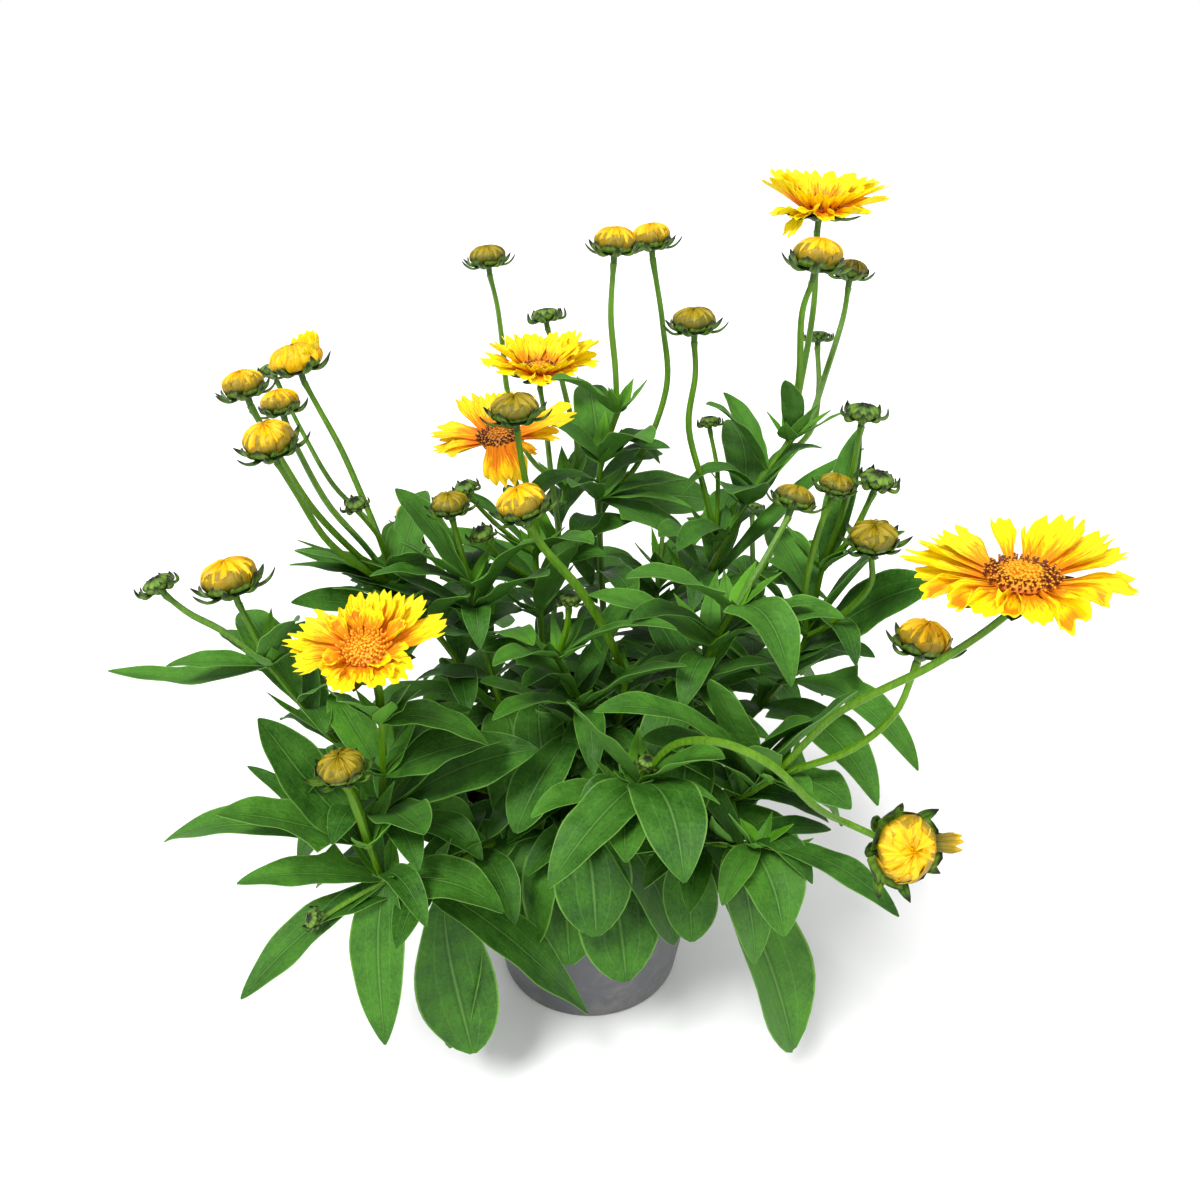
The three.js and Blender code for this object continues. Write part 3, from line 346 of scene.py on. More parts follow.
class Shape:
    """A mesh that is gathered surface by surface, with a tint and a finish for each."""

    def __init__(self) -> None:
        """Starts with nothing."""
        self._surfaces: list[Surface] = []
        self._tints: list[Array] = []
        self._finishes: list[Numbers] = []

    @property
    def count(self) -> int:
        """How many surfaces it has so far."""
        return len(self._surfaces)

    def add(self, surface: Surface, tint: Array | float = 0.5, finish: int = 0) -> None:
        """Adds a surface.

        Args:
            surface: what is added.
            tint: one shade for it all, or one for each of the equal blades that it is made of.
            finish: the number of its material.
        """
        values = np.atleast_1d(np.asarray(tint, float))
        self._surfaces.append(surface)
        self._tints.append(np.repeat(values, len(surface.points) // len(values)))
        self._finishes.append(np.full(len(surface.faces), finish))

    def build(self, name: str, materials: list[Material], crease: float = 60.0) -> Thing:
        """Puts the surfaces into one mesh object at the origin.

        Args:
            name: the object's name.
            materials: its materials, in the order of the finishes' numbers.
            crease: edges that turn by more degrees than this stay sharp.

        Returns:
            The object, linked to the scene.
        """
        points = np.concatenate([surface.points for surface in self._surfaces]) * MM
        starts = np.cumsum([0] + [len(surface.points) for surface in self._surfaces[:-1]])
        parts = [np.where(s.faces < 0, -1, s.faces + at) for s, at in zip(self._surfaces, starts)]
        faces = np.concatenate(parts)
        corners = faces[faces >= 0]
        first = np.concatenate([[0], np.cumsum((faces >= 0).sum(axis=1))[:-1]])
        mesh = bpy.data.meshes.new(name)
        mesh.vertices.add(len(points))
        fill(mesh.vertices, "co", points)
        mesh.loops.add(len(corners))
        fill(mesh.loops, "vertex_index", corners)
        mesh.polygons.add(len(faces))
        fill(mesh.polygons, "loop_start", first)
        fill(mesh.polygons, "material_index", np.concatenate(self._finishes))
        mesh.update(calc_edges=True)
        flow = mesh.attributes.new("flow", "FLOAT_VECTOR", "POINT")
        fill(flow.data, "vector", np.concatenate([surface.flow for surface in self._surfaces]))
        tint = mesh.attributes.new("tint", "FLOAT", "POINT")
        fill(tint.data, "value", np.concatenate(self._tints))
        mesh.validate()
        mesh.shade_smooth()
        mesh.set_sharp_from_angle(angle=np.radians(crease))
        for material in materials:
            mesh.materials.append(material)
        return linked(name, mesh)


# ---------------------------------------------------------------- the plant's parts


class Outline(Enum):
    """How fast a leaf widens from its root and narrows to its tip."""

    LANCE = (0.75, 0.55)
    SPOON = (1.8, 0.45)
    NARROW = (0.6, 0.9)


def half_width(share: Array, rise: Array | float, fall: Array | float) -> Array:
    """Half a leaf's width as a share of the widest: s^rise (1-s)^fall, over its own greatest value."""
    peak = rise / (rise + fall)
    return share**rise * (1 - share) ** fall / (peak**rise * (1 - peak) ** fall)


class HeadKind(Enum):
    """What a stalk carries, with its bracts' radius as a share of the head's size."""

    BLOOM = (0.2, "bloom")
    OLD = (0.2, "old bloom")
    HALF = (0.42, "half-open bloom")
    BUD = (0.5, "coloured bud")
    GREEN = (0.5, "green bud")


LANCE, SPOON, NARROW = Outline
BLOOM, OLD, HALF, BUD, GREEN = HeadKind


@dataclass(frozen=True)
class Leaf:
    """A leaf: its joint on the shoot's axis, its tip, the height of its arch, its width and its shape."""

    joint: float
    tip: Point
    arch: float
    width: float
    outline: Outline = LANCE
    roll: float = 0.0


@dataclass(frozen=True)
class Head:
    """A bud or a bloom: its kind, its size across, and for a bloom its disc, lean and petals' lift."""

    kind: HeadKind
    size: float
    name: str = ""
    disc: float = 0.0
    ripe: bool = False
    lean: Point | None = None
    lift: float = 0.0


@dataclass(frozen=True)
class Stalk:
    """A bare stalk: the joint that it grows from, its way, the head that it carries and its radius."""

    start: float
    way: tuple[Point, ...]
    head: Head
    radius: float = 1.15


@dataclass(frozen=True)
class Shoot:
    """A leafy stem: girth, ruled pairs of leaves, axis from inside the soil, more leaves and stalks."""

    name: str
    girth: float
    pairs: int
    axis: tuple[Point, ...]
    leaves: tuple[Leaf, ...] = ()
    stalks: tuple[Stalk, ...] = ()

    @property
    def last(self) -> int:
        """The number of its last joint."""
        return len(self.axis) - 1

    @property
    def course(self) -> Course:
        """The way of its stem."""
        return Course.through(*self.axis)

    def joint_at(self, joint: Array | float) -> Array:
        """The place on the axis at a joint number, which may lie between two joints."""
        return self.course.at(joint / self.last)

    def way_of(self, stalk: Stalk) -> Course:
        """The way of a stalk, from the middle of its joint to its head."""
        return Course.through(self.joint_at(stalk.start), *stalk.way)


# How far the bracts lie above a stalk's end, in bract radii, and a head's foot above them, in mm.
CALYX_DROP = 0.5
CALYX_HEIGHT = 1.1
# How thick a stem's end is, as a share of its foot.
STEM_TAPER = 0.62
# How far a disc lies above the foot of its bloom.
HUB_HEIGHT = 1.5
# The joint from which the frame's rule sets pairs of leaves, and the share of them that bend down.
FIRST_PAIR, LOW_PAIRS = 1.2, 0.4

# Where a leaf of the frame would touch a neighbour it is lifted (mm) or swung (degrees), in this order.
BENDS = (
    (0, 0), (5, 0), (-5, 0), (0, 7), (0, -7), (6, 8), (-6, -8), (6, -8), (-6, 8), (12, 0), (-12, 0),
    (0, 15), (0, -15), (12, 14), (-12, -14), (12, -14), (-12, 14), (20, 0), (-20, 0), (4, 24),
    (4, -24), (20, 20), (20, -20),
)
# How near a point of the frame has to lie to a leaf's tip for the bend to be the right one.
TIP_NEAR = 0.12


@dataclass(frozen=True)
class Seat:
    """Where a head sits: the stalk's end, the head's axis and its bracts' radius."""

    end: Array
    axis: Array
    bract: float

    @classmethod
    def of(cls, shoot: Shoot, stalk: Stalk) -> "Seat":
        """The seat of a stalk's head. Without a lean the axis halves the stalk's way and straight up."""
        head = stalk.head
        axis = np.array(head.lean, float) if head.lean else shoot.way_of(stalk).along(1.0) + UP
        return cls(np.array(stalk.way[-1], float), unit(axis), head.kind.value[0] * head.size)

    @property
    def base(self) -> Array:
        """The level of the bracts: half a bract's radius above the stalk's end."""
        return self.end + self.axis * CALYX_DROP * self.bract

    @property
    def top(self) -> Array:
        """The level on which the head's coloured parts stand."""
        return self.base + self.axis * CALYX_HEIGHT

    def outward(self, turns: Array) -> Array:
        """Directions square to the axis at angles in radians, which count from as near +X as can be."""
        right = unit(np.array([1.0, 0.0, 0.0]) - self.axis[0] * self.axis)
        turns = np.asarray(turns)[..., None]
        return right * np.cos(turns) + np.cross(self.axis, right) * np.sin(turns)


@dataclass(frozen=True)
class LeafBatch:
    """Leaves as arrays: roots and tips (n, 3), arches, widths, outlines (n, 2) or one, rolls and seeds."""

    root: Array
    tip: Array
    arch: Array
    width: Array
    outline: Array
    roll: Array
    seed: Array


@dataclass(frozen=True)
class Blades:
    """Leaf blades: thin closed shells on an arched midrib, folded up along it and wavy at the edge."""

    rows: int = 22
    columns: int = 9
    fold: float = 0.24
    wave: float = 0.1
    sway: float = 0.12
    twist: float = 26.0
    lobe: float = 0.8
    sharper: float = 0.17
    middle: float = 0.62
    edge: float = 0.24

    def grow(self, batch: LeafBatch) -> Surface:
        """All blades of a batch.

        The midrib is the square curve (1-s)^2 root + 2 s (1-s) crown + s^2 tip, whose crown lies twice
        the arch above the middle of root and tip. A point lies at rib + side w half + up height, where
        the half width follows the outline and the height is fold half |w|^1.3 plus the edge's waves.

        Args:
            batch: the leaves.

        Returns:
            Their blades in one surface.
        """
        s = 0.997 * (1 - (1 - np.linspace(0, 1, self.rows)) ** 1.15)
        w = np.linspace(-1, 1, self.columns)
        seed = batch.seed
        root, tip = batch.root[:, None], batch.tip[:, None]
        rib, along = bow(s[None, :, None], root, (root + tip) / 2 + 2 * batch.arch[:, None, None] * UP, tip)
        along = unit(along)
        way = tip - root
        level = unit(np.stack([-way[..., 1], way[..., 0], 0 * way[..., 0]], axis=-1))
        swirl = self.twist * (ripple_of(seed, 3) - 0.5)
        roll = np.radians(batch.roll[:, None] + swirl[:, None] * (2 * s - 1))[..., None]
        side = level * np.cos(roll) + np.cross(along, level) * np.sin(roll)
        up = np.cross(along, side)

        outline = half_width(s, batch.outline[:, :1], batch.outline[:, 1:] + self.sharper)
        petiole = (0.8 + 0.03 * batch.width[:, None]) * (1 - s)
        half = np.maximum(batch.width[:, None] * 0.53 * (outline * (1 - 0.25 * s**9)), petiole) + 0.12
        half = half[:, :, None] * (1 + self._lobes(batch, s, w))

        length = np.linalg.norm(batch.tip - batch.root, axis=1)[:, None, None]
        phase = 2 * np.pi * seed[:, None, None]
        t = s[None, :, None]
        waves = np.sin(8.5 * t + phase + 2.1 * (w > 0)) + 0.6 * np.sin(19 * t + 1.7 * phase - w)
        waves = waves * (4 * s * (1 - s))[:, None] * self.wave
        quilt = 0.035 * np.cos(2 * np.pi * 2.2 * np.abs(w)) * (1 - s)[:, None]
        fold = self.fold * (0.5 + ripple_of(seed, 9))[:, None, None]
        bend = (ripple_of(seed, 5) - 0.7)[:, None, None] * 0.09
        height = half * (fold * np.abs(w) ** 1.3 + waves * w**2 + quilt)
        height = height + bend * length * (np.maximum(s - 0.6, 0) / 0.4)[:, None] ** 2
        sway = self.sway * (ripple_of(seed, 11) - 0.5)[:, None, None] * length * np.sin(np.pi * t)
        side, up = side[:, :, None], up[:, :, None]
        sheet = rib[:, :, None] + side * (w * half + sway)[..., None] + up * height[..., None]

        thin = self.edge + (self.middle - self.edge) * (1 - np.abs(w) ** 1.4) * (1 - 0.6 * s)[:, None]
        keel = 0.55 * bell(w, 0.16) * (1 - 0.8 * s)[:, None]
        return shells(sheet, up, thin / 2 - 0.3 * keel, thin / 2 + keel, s, w)

    def _lobes(self, batch: LeafBatch, s: Array, w: Array) -> Array:
        """Small side lobes on some of the wide leaves: a hump of the width at two fifths of a side."""
        some = ripple_of(batch.seed, 7)
        sided = np.where((some < 0.16)[:, None], w > 0.1, (some > 0.84)[:, None] & (w < -0.1))
        size = self.lobe * sided * (batch.width > 14)[:, None]
        return size[:, None, :] * bell(s - 0.36, 0.05)[None, :, None]


@dataclass(frozen=True)
class Bracts:
    """The narrow green blades under a head, each on a curve in a plane through the head's axis."""

    width: float = 0.36
    cup: float = 0.35
    thickness: float = 0.4
    count: int = 8
    rows: int = 9
    columns: int = 5
    wander: float = 0.12

    def grow(self, seat: Seat, curve: Array, turn: float) -> Surface:
        """A ring of bracts.

        Args:
            seat: the head's seat.
            curve: (3, 2) radius and height of a square curve's corners, in bract radii.
            turn: the first bract's angle in radians.

        Returns:
            The bracts, each along rib(s) + across w half, raised by cup half w^2 towards its inside.
        """
        s = np.linspace(0, 0.99, self.rows)
        w = np.linspace(-1, 1, self.columns)
        turns = np.arange(self.count) + 0.25 * (ripples(self.count, 4) - 0.5)
        outward = seat.outward(turn + turns * 2 * np.pi / self.count)
        across = np.cross(seat.axis, outward)[:, None, None]
        outward = outward[:, None]
        size = seat.bract * (1 + self.wander * (ripples(self.count, 2) - 0.5) * 2)
        profile, slope = bow(s[:, None], *curve)
        slope /= np.linalg.norm(slope, axis=1, keepdims=True)
        place = seat.base + size[:, None, None] * (profile[:, :1] * outward + profile[:, 1:] * seat.axis)
        along = slope[:, :1] * outward + slope[:, 1:] * seat.axis
        up = np.cross(along, across[:, 0])[:, :, None]
        shape = half_width(np.minimum(0.12 + 0.9 * s, 0.999), *LANCE.value) * (1 - 0.4 * s**6)
        half = np.maximum(self.width / 2 * shape * seat.bract, 0.16)[:, None]
        rise = self.cup * half * w**2
        sheet = place[:, :, None] + across * (half * w)[..., None] + up * rise[..., None]
        thick = self.thickness / 2 * (1 - 0.5 * np.abs(w))
        return shells(sheet, up, thick, thick, s, w)


@dataclass(frozen=True)
class Petal:
    """A petal: its turn from the right, reach and width in bloom radii, lift, roll (1 a tube) and droop."""

    turn: float
    reach: float
    width: float
    lift: float
    roll: float = 0.2
    droop: float = 0.06


@dataclass(frozen=True)
class Petals:
    """Toothed petals: thin closed shells that widen from a claw, rolled up more or less to a tube."""

    claw: float = 0.34
    pleat: float = 0.36
    ruffle: float = 0.13
    tooth: float = 0.15
    thickness: float = 0.34
    rows: int = 15
    columns: int = 17

    def grow(self, seat: Seat, petals: tuple[Petal, ...], radius: float, hub: float) -> Surface:
        """The petals of a bloom.

        A point lies at foot + along d + normal h + across b, where the cross-section is an arc: for a
        place w from -1 to 1 and a roll q, b = half sin(pi q w) / (pi q) and h = half (1 - cos(pi q w))
        / (pi q), plus pleats, ruffles and less the droop. The way d ends early between three or four
        teeth, and the half width grows smoothly from the claw.

        Args:
            seat: the head's seat.
            petals: turn, reach, width, lift, roll and droop of each.
            radius: the bloom's radius.
            hub: the radius at which the petals are rooted.

        Returns:
            The petals in one surface.
        """
        table = np.array([astuple(petal) for petal in petals])
        turn, reach, width, lift, roll, droop = table.T[..., None]
        index = np.arange(len(table))[:, None]
        chance = [
            ripple_of(ripples(len(table), k) + 0.013 * len(table), k)[:, None] for k in range(8)
        ]
        lift = np.radians(lift)
        outward = seat.outward(np.radians(turn[:, 0]))
        across = np.cross(seat.axis, outward)[:, None, None]
        along = (outward * np.cos(lift) + seat.axis * np.sin(lift))[:, None, None]
        normal = (seat.axis * np.cos(lift) - outward * np.sin(lift))[:, None, None]
        foot = seat.top + outward * hub + seat.axis * (0.4 + 2.2 * np.sin(np.abs(lift)))
        length = (reach * radius - hub)[:, None]
        s = np.linspace(0, 1, self.rows) ** 0.9
        w = np.linspace(-1, 1, self.columns)
        t = s[:, None]
        ease = np.clip(s / (0.5 + 0.3 * chance[3]), 0, 1)
        grown = self.claw + (1 - self.claw) * ease**2 * (3 - 2 * ease)
        half = (width * radius / 2)[:, None] * grown[..., None]
        teeth = np.where(chance[2] > 0.4, 4, 3)
        beat = 0.5 + 0.5 * np.cos(np.pi * teeth * (w + 1) + 0.8 * (chance[5] - 0.5))
        which = np.floor((w + 1) * teeth / 2 + 0.5)
        deep = self.tooth * (0.35 + 1.4 * ripple_of(0.11 * (index + 1) + 0.173 * which, 1))
        end = 1 - (0.06 + 0.14 * chance[6]) * w**2 - beat**1.2 * deep
        way = t * (1 + t**3 * (end[:, None] - 1))
        open_ = np.pi * (roll * (1 - 0.35 * s**3) + 0.03)[..., None]
        aside = half * np.sin(open_ * w) / open_
        arch = half * (1 - np.cos(open_ * w)) / open_
        pleat = -self.pleat * np.cos(4 * np.pi * w) * (1 - 0.4 * np.abs(w)) * t
        phase = 6.28 * chance[4][:, None]
        ruffle = self.ruffle * half * np.sin(8 * t + 5 * w + phase) * w**2 * t
        lean = (0.5 * chance[7] - 0.25)[:, None] * w * half * t
        fall = (droop * (0.4 + 1.2 * chance[1]))[:, None] * length * way**2
        sway = 0.2 * (chance[0] - 0.5)[:, None] * length * way**2
        height = arch + pleat + ruffle + lean - fall
        sheet = (
            foot[:, None, None] + along * (length * way)[..., None] + normal * height[..., None]
            + across * (aside + sway)[..., None]
        )
        up = np.cos(open_ * w)[..., None] * normal - np.sin(open_ * w)[..., None] * across
        thick = self.thickness / 2 * (1 - 0.5 * np.abs(w)) * (1 - 0.45 * t)
        return shells(sheet, up, thick, thick, s, w)


@dataclass(frozen=True)
class Florets:
    """A bloom's disc: a low cushion with florets in a golden-angle spiral, the outer ones open."""

    count: int
    radius: float
    height: float = 0.27
    tall: float = 2.7
    short: float = 1.3

    def cushion(self, foot: Array, axis: Array) -> Surface:
        """The cushion under the florets, a flat dome."""
        r, h = self.radius, self.height * self.radius
        profile = np.array([[0, -0.3], [0.9 * r, -0.3], [0.98 * r, 0.1 * h], [0.86 * r, 0.5 * h],
                            [0.6 * r, 0.85 * h], [0.3 * r, h], [0, 1.03 * h]])
        return turned(foot, axis, profile, 32)

    def grow(self, foot: Array, axis: Array) -> Surface:
        """The florets: five-sided spindles at radius R sqrt(k/n) and k golden angles round the axis."""
        k = np.arange(self.count)
        share = np.sqrt((k + 0.5) / self.count)
        stray = [ripple_of(ripples(self.count, j), j) - 0.5 for j in range(4)]
        turn = (k * GOLDEN_ANGLE + 0.9 * stray[0] / np.sqrt(k + 1))[:, None]
        u, v = square_to(axis)
        outward = u * np.cos(turn) + v * np.sin(turn)
        side = unit(np.cross(axis, outward))
        splay = (0.75 * share**2 + 0.5 * stray[1])[:, None]
        lean = unit(axis + outward * splay + side * 0.6 * stray[2][:, None])
        side = unit(np.cross(lean, outward))
        across = np.cross(lean, side)
        dome = self.height * self.radius * (1 - share**2)
        root = foot + outward * (0.97 * share * self.radius)[:, None] + axis * dome[:, None]
        open_ = 1 / (1 + np.exp(-(share - 0.66) / 0.05))
        chance = ripple_of(ripples(self.count), 2)
        tall = (self.short + (self.tall - self.short) * open_) * (0.6 + 0.8 * chance)
        girth = self.radius * np.sqrt(np.pi / self.count) * (0.56 - 0.14 * open_) * (1 + 0.5 * stray[3])
        levels, widths = np.array([[-0.2, 0.45, 0.72, 0.9], [0.8, 1.0, 0.72, 0.86]])
        angle = ring_of(5)[:, None]
        round_ = side[:, None] * np.cos(angle) + across[:, None] * np.sin(angle)
        rings = (
            root[:, None, None]
            + lean[:, None, None] * (tall[:, None] * levels)[..., None, None]
            + round_[:, None] * (girth[:, None] * widths)[..., None, None]
        )
        ends = root[:, None] + lean[:, None] * (tall[:, None] * np.array([-0.2, 1.0]))[..., None]
        flow = np.empty((self.count, 22, 3))
        flow[..., 0] = [*np.repeat(levels, 5), -0.2, 1.0]
        flow[..., 1] = share[:, None]
        flow[..., 2] = chance[:, None]
        return closed_copies(rings, ends, flow)


@dataclass(frozen=True)
class Scales:
    """The skins of a closed bud: overlapping shells on a dome, each higher along one edge.

    The dome has radius R cos(phi) and height H (0.4 + 0.6 sin(phi)), from phi -38 degrees up. A shell
    runs from phi low to high, is scaled out from the dome, and is folded by its ruffle, more so
    towards its end by its crumple.
    """

    count: int
    low: float
    high: float
    spread: float
    scale: float = 1.0
    rounding: float = 3.0
    ruffle: float = 0.02
    crumple: float = 0.0
    rows: int = 13
    columns: int = 11

    def grow(self, seat: Seat, radius: float, height: float, turn: float) -> Surface:
        """The shells of one whorl round the dome of a radius and height, from an angle in radians."""
        s = np.linspace(0, 1, self.rows)
        w = np.linspace(-1, 1, self.columns)
        chance = ripples(self.count, int(10 * turn) % 5)[:, None, None]
        top, low = np.radians(self.high + 9 * (chance - 0.5)), np.radians(self.low)
        ended = np.sqrt(np.maximum(1 - (0.96 * s) ** (2 * self.rounding), 0.02))[:, None]
        angle = (low + (top - low) * (s[:, None] * (1 - 0.1 * w**2)))[..., None]
        first = (np.arange(self.count) * 2 * np.pi / self.count)[:, None, None]
        outward = seat.outward(turn + first - w * (np.pi / self.count * self.spread) * ended)
        swell = np.sin(np.pi * s) + self.crumple * s**3
        folds = np.cos(2 * np.pi * (1.5 * w + chance)) * swell[:, None]
        lift = (self.scale + 0.045 * w * ended + 0.012 * chance + self.ruffle * folds)[..., None]
        high = height * (0.4 + 0.59 * np.sin(angle) * lift)
        sheet = seat.top + seat.axis * high + outward * (radius * np.cos(angle) * lift)
        up = unit(outward * np.cos(angle) + seat.axis * np.sin(angle))
        return shells(sheet, up, 0.14, 0.14, s, w)

    @staticmethod
    def core(seat: Seat, radius: float, height: float) -> Surface:
        """The closed dome inside the skins."""
        phi = np.radians(np.linspace(-38, 88, 12))
        heights = height * (0.4 + 0.59 * np.sin(phi))
        dome = np.column_stack([radius * np.cos(phi), heights])
        profile = np.concatenate([[[0, heights[0]]], dome, [[0, height * 0.995]]])
        return turned(seat.top, seat.axis, profile, 24)


# The curves of the bracts: radius and height of their root, crown and tip, in bract radii.
SPREADING = np.array([[0.5, -0.04], [1.2, -0.2], [1.5, 0.46]])
SPREADING_LOW = np.array([[0.45, 0.0], [1.0, -0.2], [1.45, -0.14]])
SPREADING_OLD = np.array([[0.3, 0.0], [0.44, -0.25], [0.4, -0.72]])
HUGGING = np.array([[0.66, 0.1], [1.08, 0.1], [0.96, 0.56]])
OPENED = np.array([[0.66, 0.1], [1.2, 0.05], [1.14, 0.42]])
DISHED = np.array([[0.4, 0.0], [1.6, -0.3], [1.2, 0.62]])
CLOSED = np.array([[0.3, 0.0], [1.3, 0.05], [0.82, 0.62]])


def leaves(*rows: tuple) -> tuple[Leaf, ...]:
    """Leaves from rows of a joint, the tip's x, y and z, arch, width, and where needed outline and roll."""
    return tuple(Leaf(row[0], row[1:4], *row[4:]) for row in rows)


def petals(*rows: tuple[float, ...]) -> tuple[Petal, ...]:
    """Petals from rows of their fields."""
    return tuple(Petal(*row) for row in rows)


BLOOM_PETALS: dict[str, tuple[Petal, ...]] = {
    "right": petals(
        (132, 0.84, 0.36, 22, 0.25), (147, 0.94, 0.44, 19, 0.2), (163, 1.02, 0.46, 14, 0.15),
        (177, 0.88, 0.4, 8, 0.3), (191, 0.93, 0.38, 4, 0.78), (207, 0.82, 0.38, 0, 0.8),
        (223, 0.74, 0.36, 0, 0.4), (241, 0.64, 0.38, -2, 0.8), (263, 0.64, 0.32, -8, 0.3),
        (286, 0.76, 0.48, -10, 0.82), (311, 0.52, 0.24, 0, 0.4), (325, 0.72, 0.38, 0, 0.8),
        (341, 0.92, 0.42, 0, 0.8), (12, 1, 0.46, 12, 0.2), (25, 0.98, 0.46, 19, 0.15),
        (46, 0.94, 0.46, 27, 0.15), (64, 0.74, 0.24, 30, 0.4), (91, 0.78, 0.28, 34, 0.35),
    ),
    "left": petals(
        (158, 0.9, 0.46, 23), (137, 0.7, 0.34, 28, 0.3), (176, 1.03, 0.34, 12), (186, 0.9, 0.3, 10),
        (200, 0.88, 0.42, 10, 0.3), (226, 0.62, 0.4, 10, 0.35), (252, 0.74, 0.38, 8, 0.3),
        (276, 0.6, 0.32, 16, 0.35), (300, 0.72, 0.42, 14, 0.3), (321, 0.8, 0.4, 12, 0.3),
        (344, 0.6, 0.32, 22, 0.3), (8, 1.06, 0.44, 20, 0.15), (36, 0.98, 0.48, 28), (54, 0.86, 0.42, 36),
        (70, 0.84, 0.42, 38, 0.25), (86, 0.78, 0.42, 42, 0.3), (101, 0.8, 0.36, 41, 0.35),
        (118, 0.7, 0.34, 36, 0.3), (148, 0.6, 0.34, 42, 0.5), (214, 0.56, 0.34, 28, 0.5),
        (310, 0.5, 0.32, 30, 0.3), (22, 0.64, 0.34, 40, 0.5), (78, 0.6, 0.38, 54, 0.3),
        (112, 0.6, 0.34, 54, 0.5),
    ),
    "top": petals(
        (180, 1.02, 0.46, 34, 0.25), (199, 0.8, 0.5, 0, 0.25), (213, 0.76, 0.36, -50, 0.2),
        (224, 0.62, 0.42, -8, 0.3), (154, 1.04, 0.52, 44), (130, 0.98, 0.5, 46), (106, 0.94, 0.5, 46),
        (82, 0.94, 0.5, 46), (58, 0.98, 0.5, 44), (36, 1.04, 0.52, 40), (14, 1.1, 0.54, 31),
        (347, 1.02, 0.5, 20, 0.25), (322, 0.8, 0.46, 8, 0.3), (294, 0.58, 0.4, 2, 0.3),
        (266, 0.6, 0.34, -10, 0.25), (240, 0.66, 0.4, 10, 0.35), (168, 0.84, 0.4, 55, 0.3),
        (118, 0.78, 0.42, 60, 0.25), (70, 0.78, 0.42, 62, 0.25), (26, 0.82, 0.42, 54, 0.3),
        (212, 0.7, 0.38, 44, 0.35), (243, 0.54, 0.34, 54, 0.35), (276, 0.52, 0.36, 56, 0.35),
        (308, 0.58, 0.36, 50, 0.3), (335, 0.76, 0.4, 44, 0.25), (192, 0.84, 0.4, 44, 0.25),
    ),
    "middle": petals(
        (190, 1.04, 0.52, 17), (170, 1, 0.6, 34), (146, 0.94, 0.58, 44), (120, 0.88, 0.56, 47),
        (96, 0.84, 0.5, 46, 0.25), (62, 0.92, 0.52, 50), (40, 1.06, 0.58, 46, 0.15),
        (20, 1.18, 0.64, 35, 0.15), (3, 1.04, 0.54, 21, 0.2), (334, 0.68, 0.44, 12, 0.3),
        (302, 0.52, 0.42, 2, 0.35), (272, 0.58, 0.44, -12, 0.3), (240, 0.56, 0.42, 4, 0.35),
        (212, 0.84, 0.48, 9, 0.3), (158, 0.76, 0.44, 56), (108, 0.7, 0.42, 60), (54, 0.72, 0.42, 60),
        (14, 0.8, 0.44, 50), (222, 0.62, 0.4, 34, 0.3), (250, 0.52, 0.4, 42, 0.3), (282, 0.5, 0.4, 42, 0.3),
        (312, 0.54, 0.4, 40, 0.3), (340, 0.66, 0.4, 36, 0.3), (192, 0.8, 0.42, 42),
    ),
    "old": petals(
        (132, 0.92, 0.44, 36, 0.2), (163, 1, 0.46, 9), (177, 0.95, 0.46, -2), (196, 0.78, 0.36, 0, 0.3),
        (108, 0.8, 0.38, 42), (78, 0.8, 0.4, 44), (48, 0.82, 0.26, 38, 0.4), (4, 1.13, 0.48, 23, 0.2),
        (351, 0.86, 0.36, 8, 0.4), (264, 0.72, 0.42, -62, 0.12), (279, 0.84, 0.48, -66, 0.12),
        (296, 0.76, 0.42, -62, 0.15), (328, 0.62, 0.22, -18, 0.5),
    ),
    "high": petals(
        (52, 1.7, 1.45, 77, 0.22, -0.05), (74, 1.62, 1.1, 80, 0.22, -0.06),
        (14, 1.56, 1.3, 76, 0.25, -0.06), (338, 1.36, 1.1, 79, 0.25, -0.1),
    ),
}

# Further leaves that are finer than the frame needs, most of them over the pot's rim.
MORE_LEAVES: dict[str, tuple[Leaf, ...]] = {
    "rosette_front": leaves(
        (2, -34, -86, 78, 26, 34, SPOON), (2, 42, -80, 84, 27, 34, SPOON),
        (1.5, -8, -82, 74, 30, 36, SPOON), (2, -58, -74, 96, 22, 28, SPOON),
    ),
    "shoot_back_tall": leaves((4, 64, 64, 236, 2, 22, LANCE, 45)),
    "shoot_left_high": leaves(
        (4, -76, 36, 254, 3, 14), (3.5, -118, -30, 254, 3, 9, NARROW), (3, -126, -52, 222, 3, 12),
        (4, -99, -32, 264, 1, 7, NARROW), (3.5, -100, -50, 244, 2, 9), (3, -112, -52, 208, 4, 14),
    ),
    "shoot_left_inner": leaves(
        (4, -72, -50, 262, 2, 10), (3, -78, -60, 222, 4, 15), (3.5, -92, -34, 248, 3, 9, NARROW),
        (3.5, -104, -20, 236, 2, 10), (4, -62, -30, 268, 1, 8, NARROW),
    ),
}

# A bud's skins from the inside out: number, foot and end (degrees), scale, ruffle, crumple and shade.
SKINS = ((5, -20.0, 91.0, 0.97, 0.11, 0.9, 0.68), (5, -38.0, 52.0, 1.0, 0.03, 0.4, 0.12),
         (5, -38.0, 28.0, 1.03, 0.02, 0.2, 0.0))
OPENING = ((3, -10.0, 93.0, 0.93, 0.13, 1.2, 1.0), (4, -30.0, 76.0, 0.95, 0.08, 1.0, 0.72),
           (5, -38.0, 50.0, 1.02, 0.02, 0.1, 0.12), (6, -38.0, 22.0, 1.03, 0.01, 0.0, 0.0))
# The loose petal that hangs out of the opening bud, its reach and width in bract radii.
OPENING_FLAP = Petal(6, 1.78, 0.7, 34)
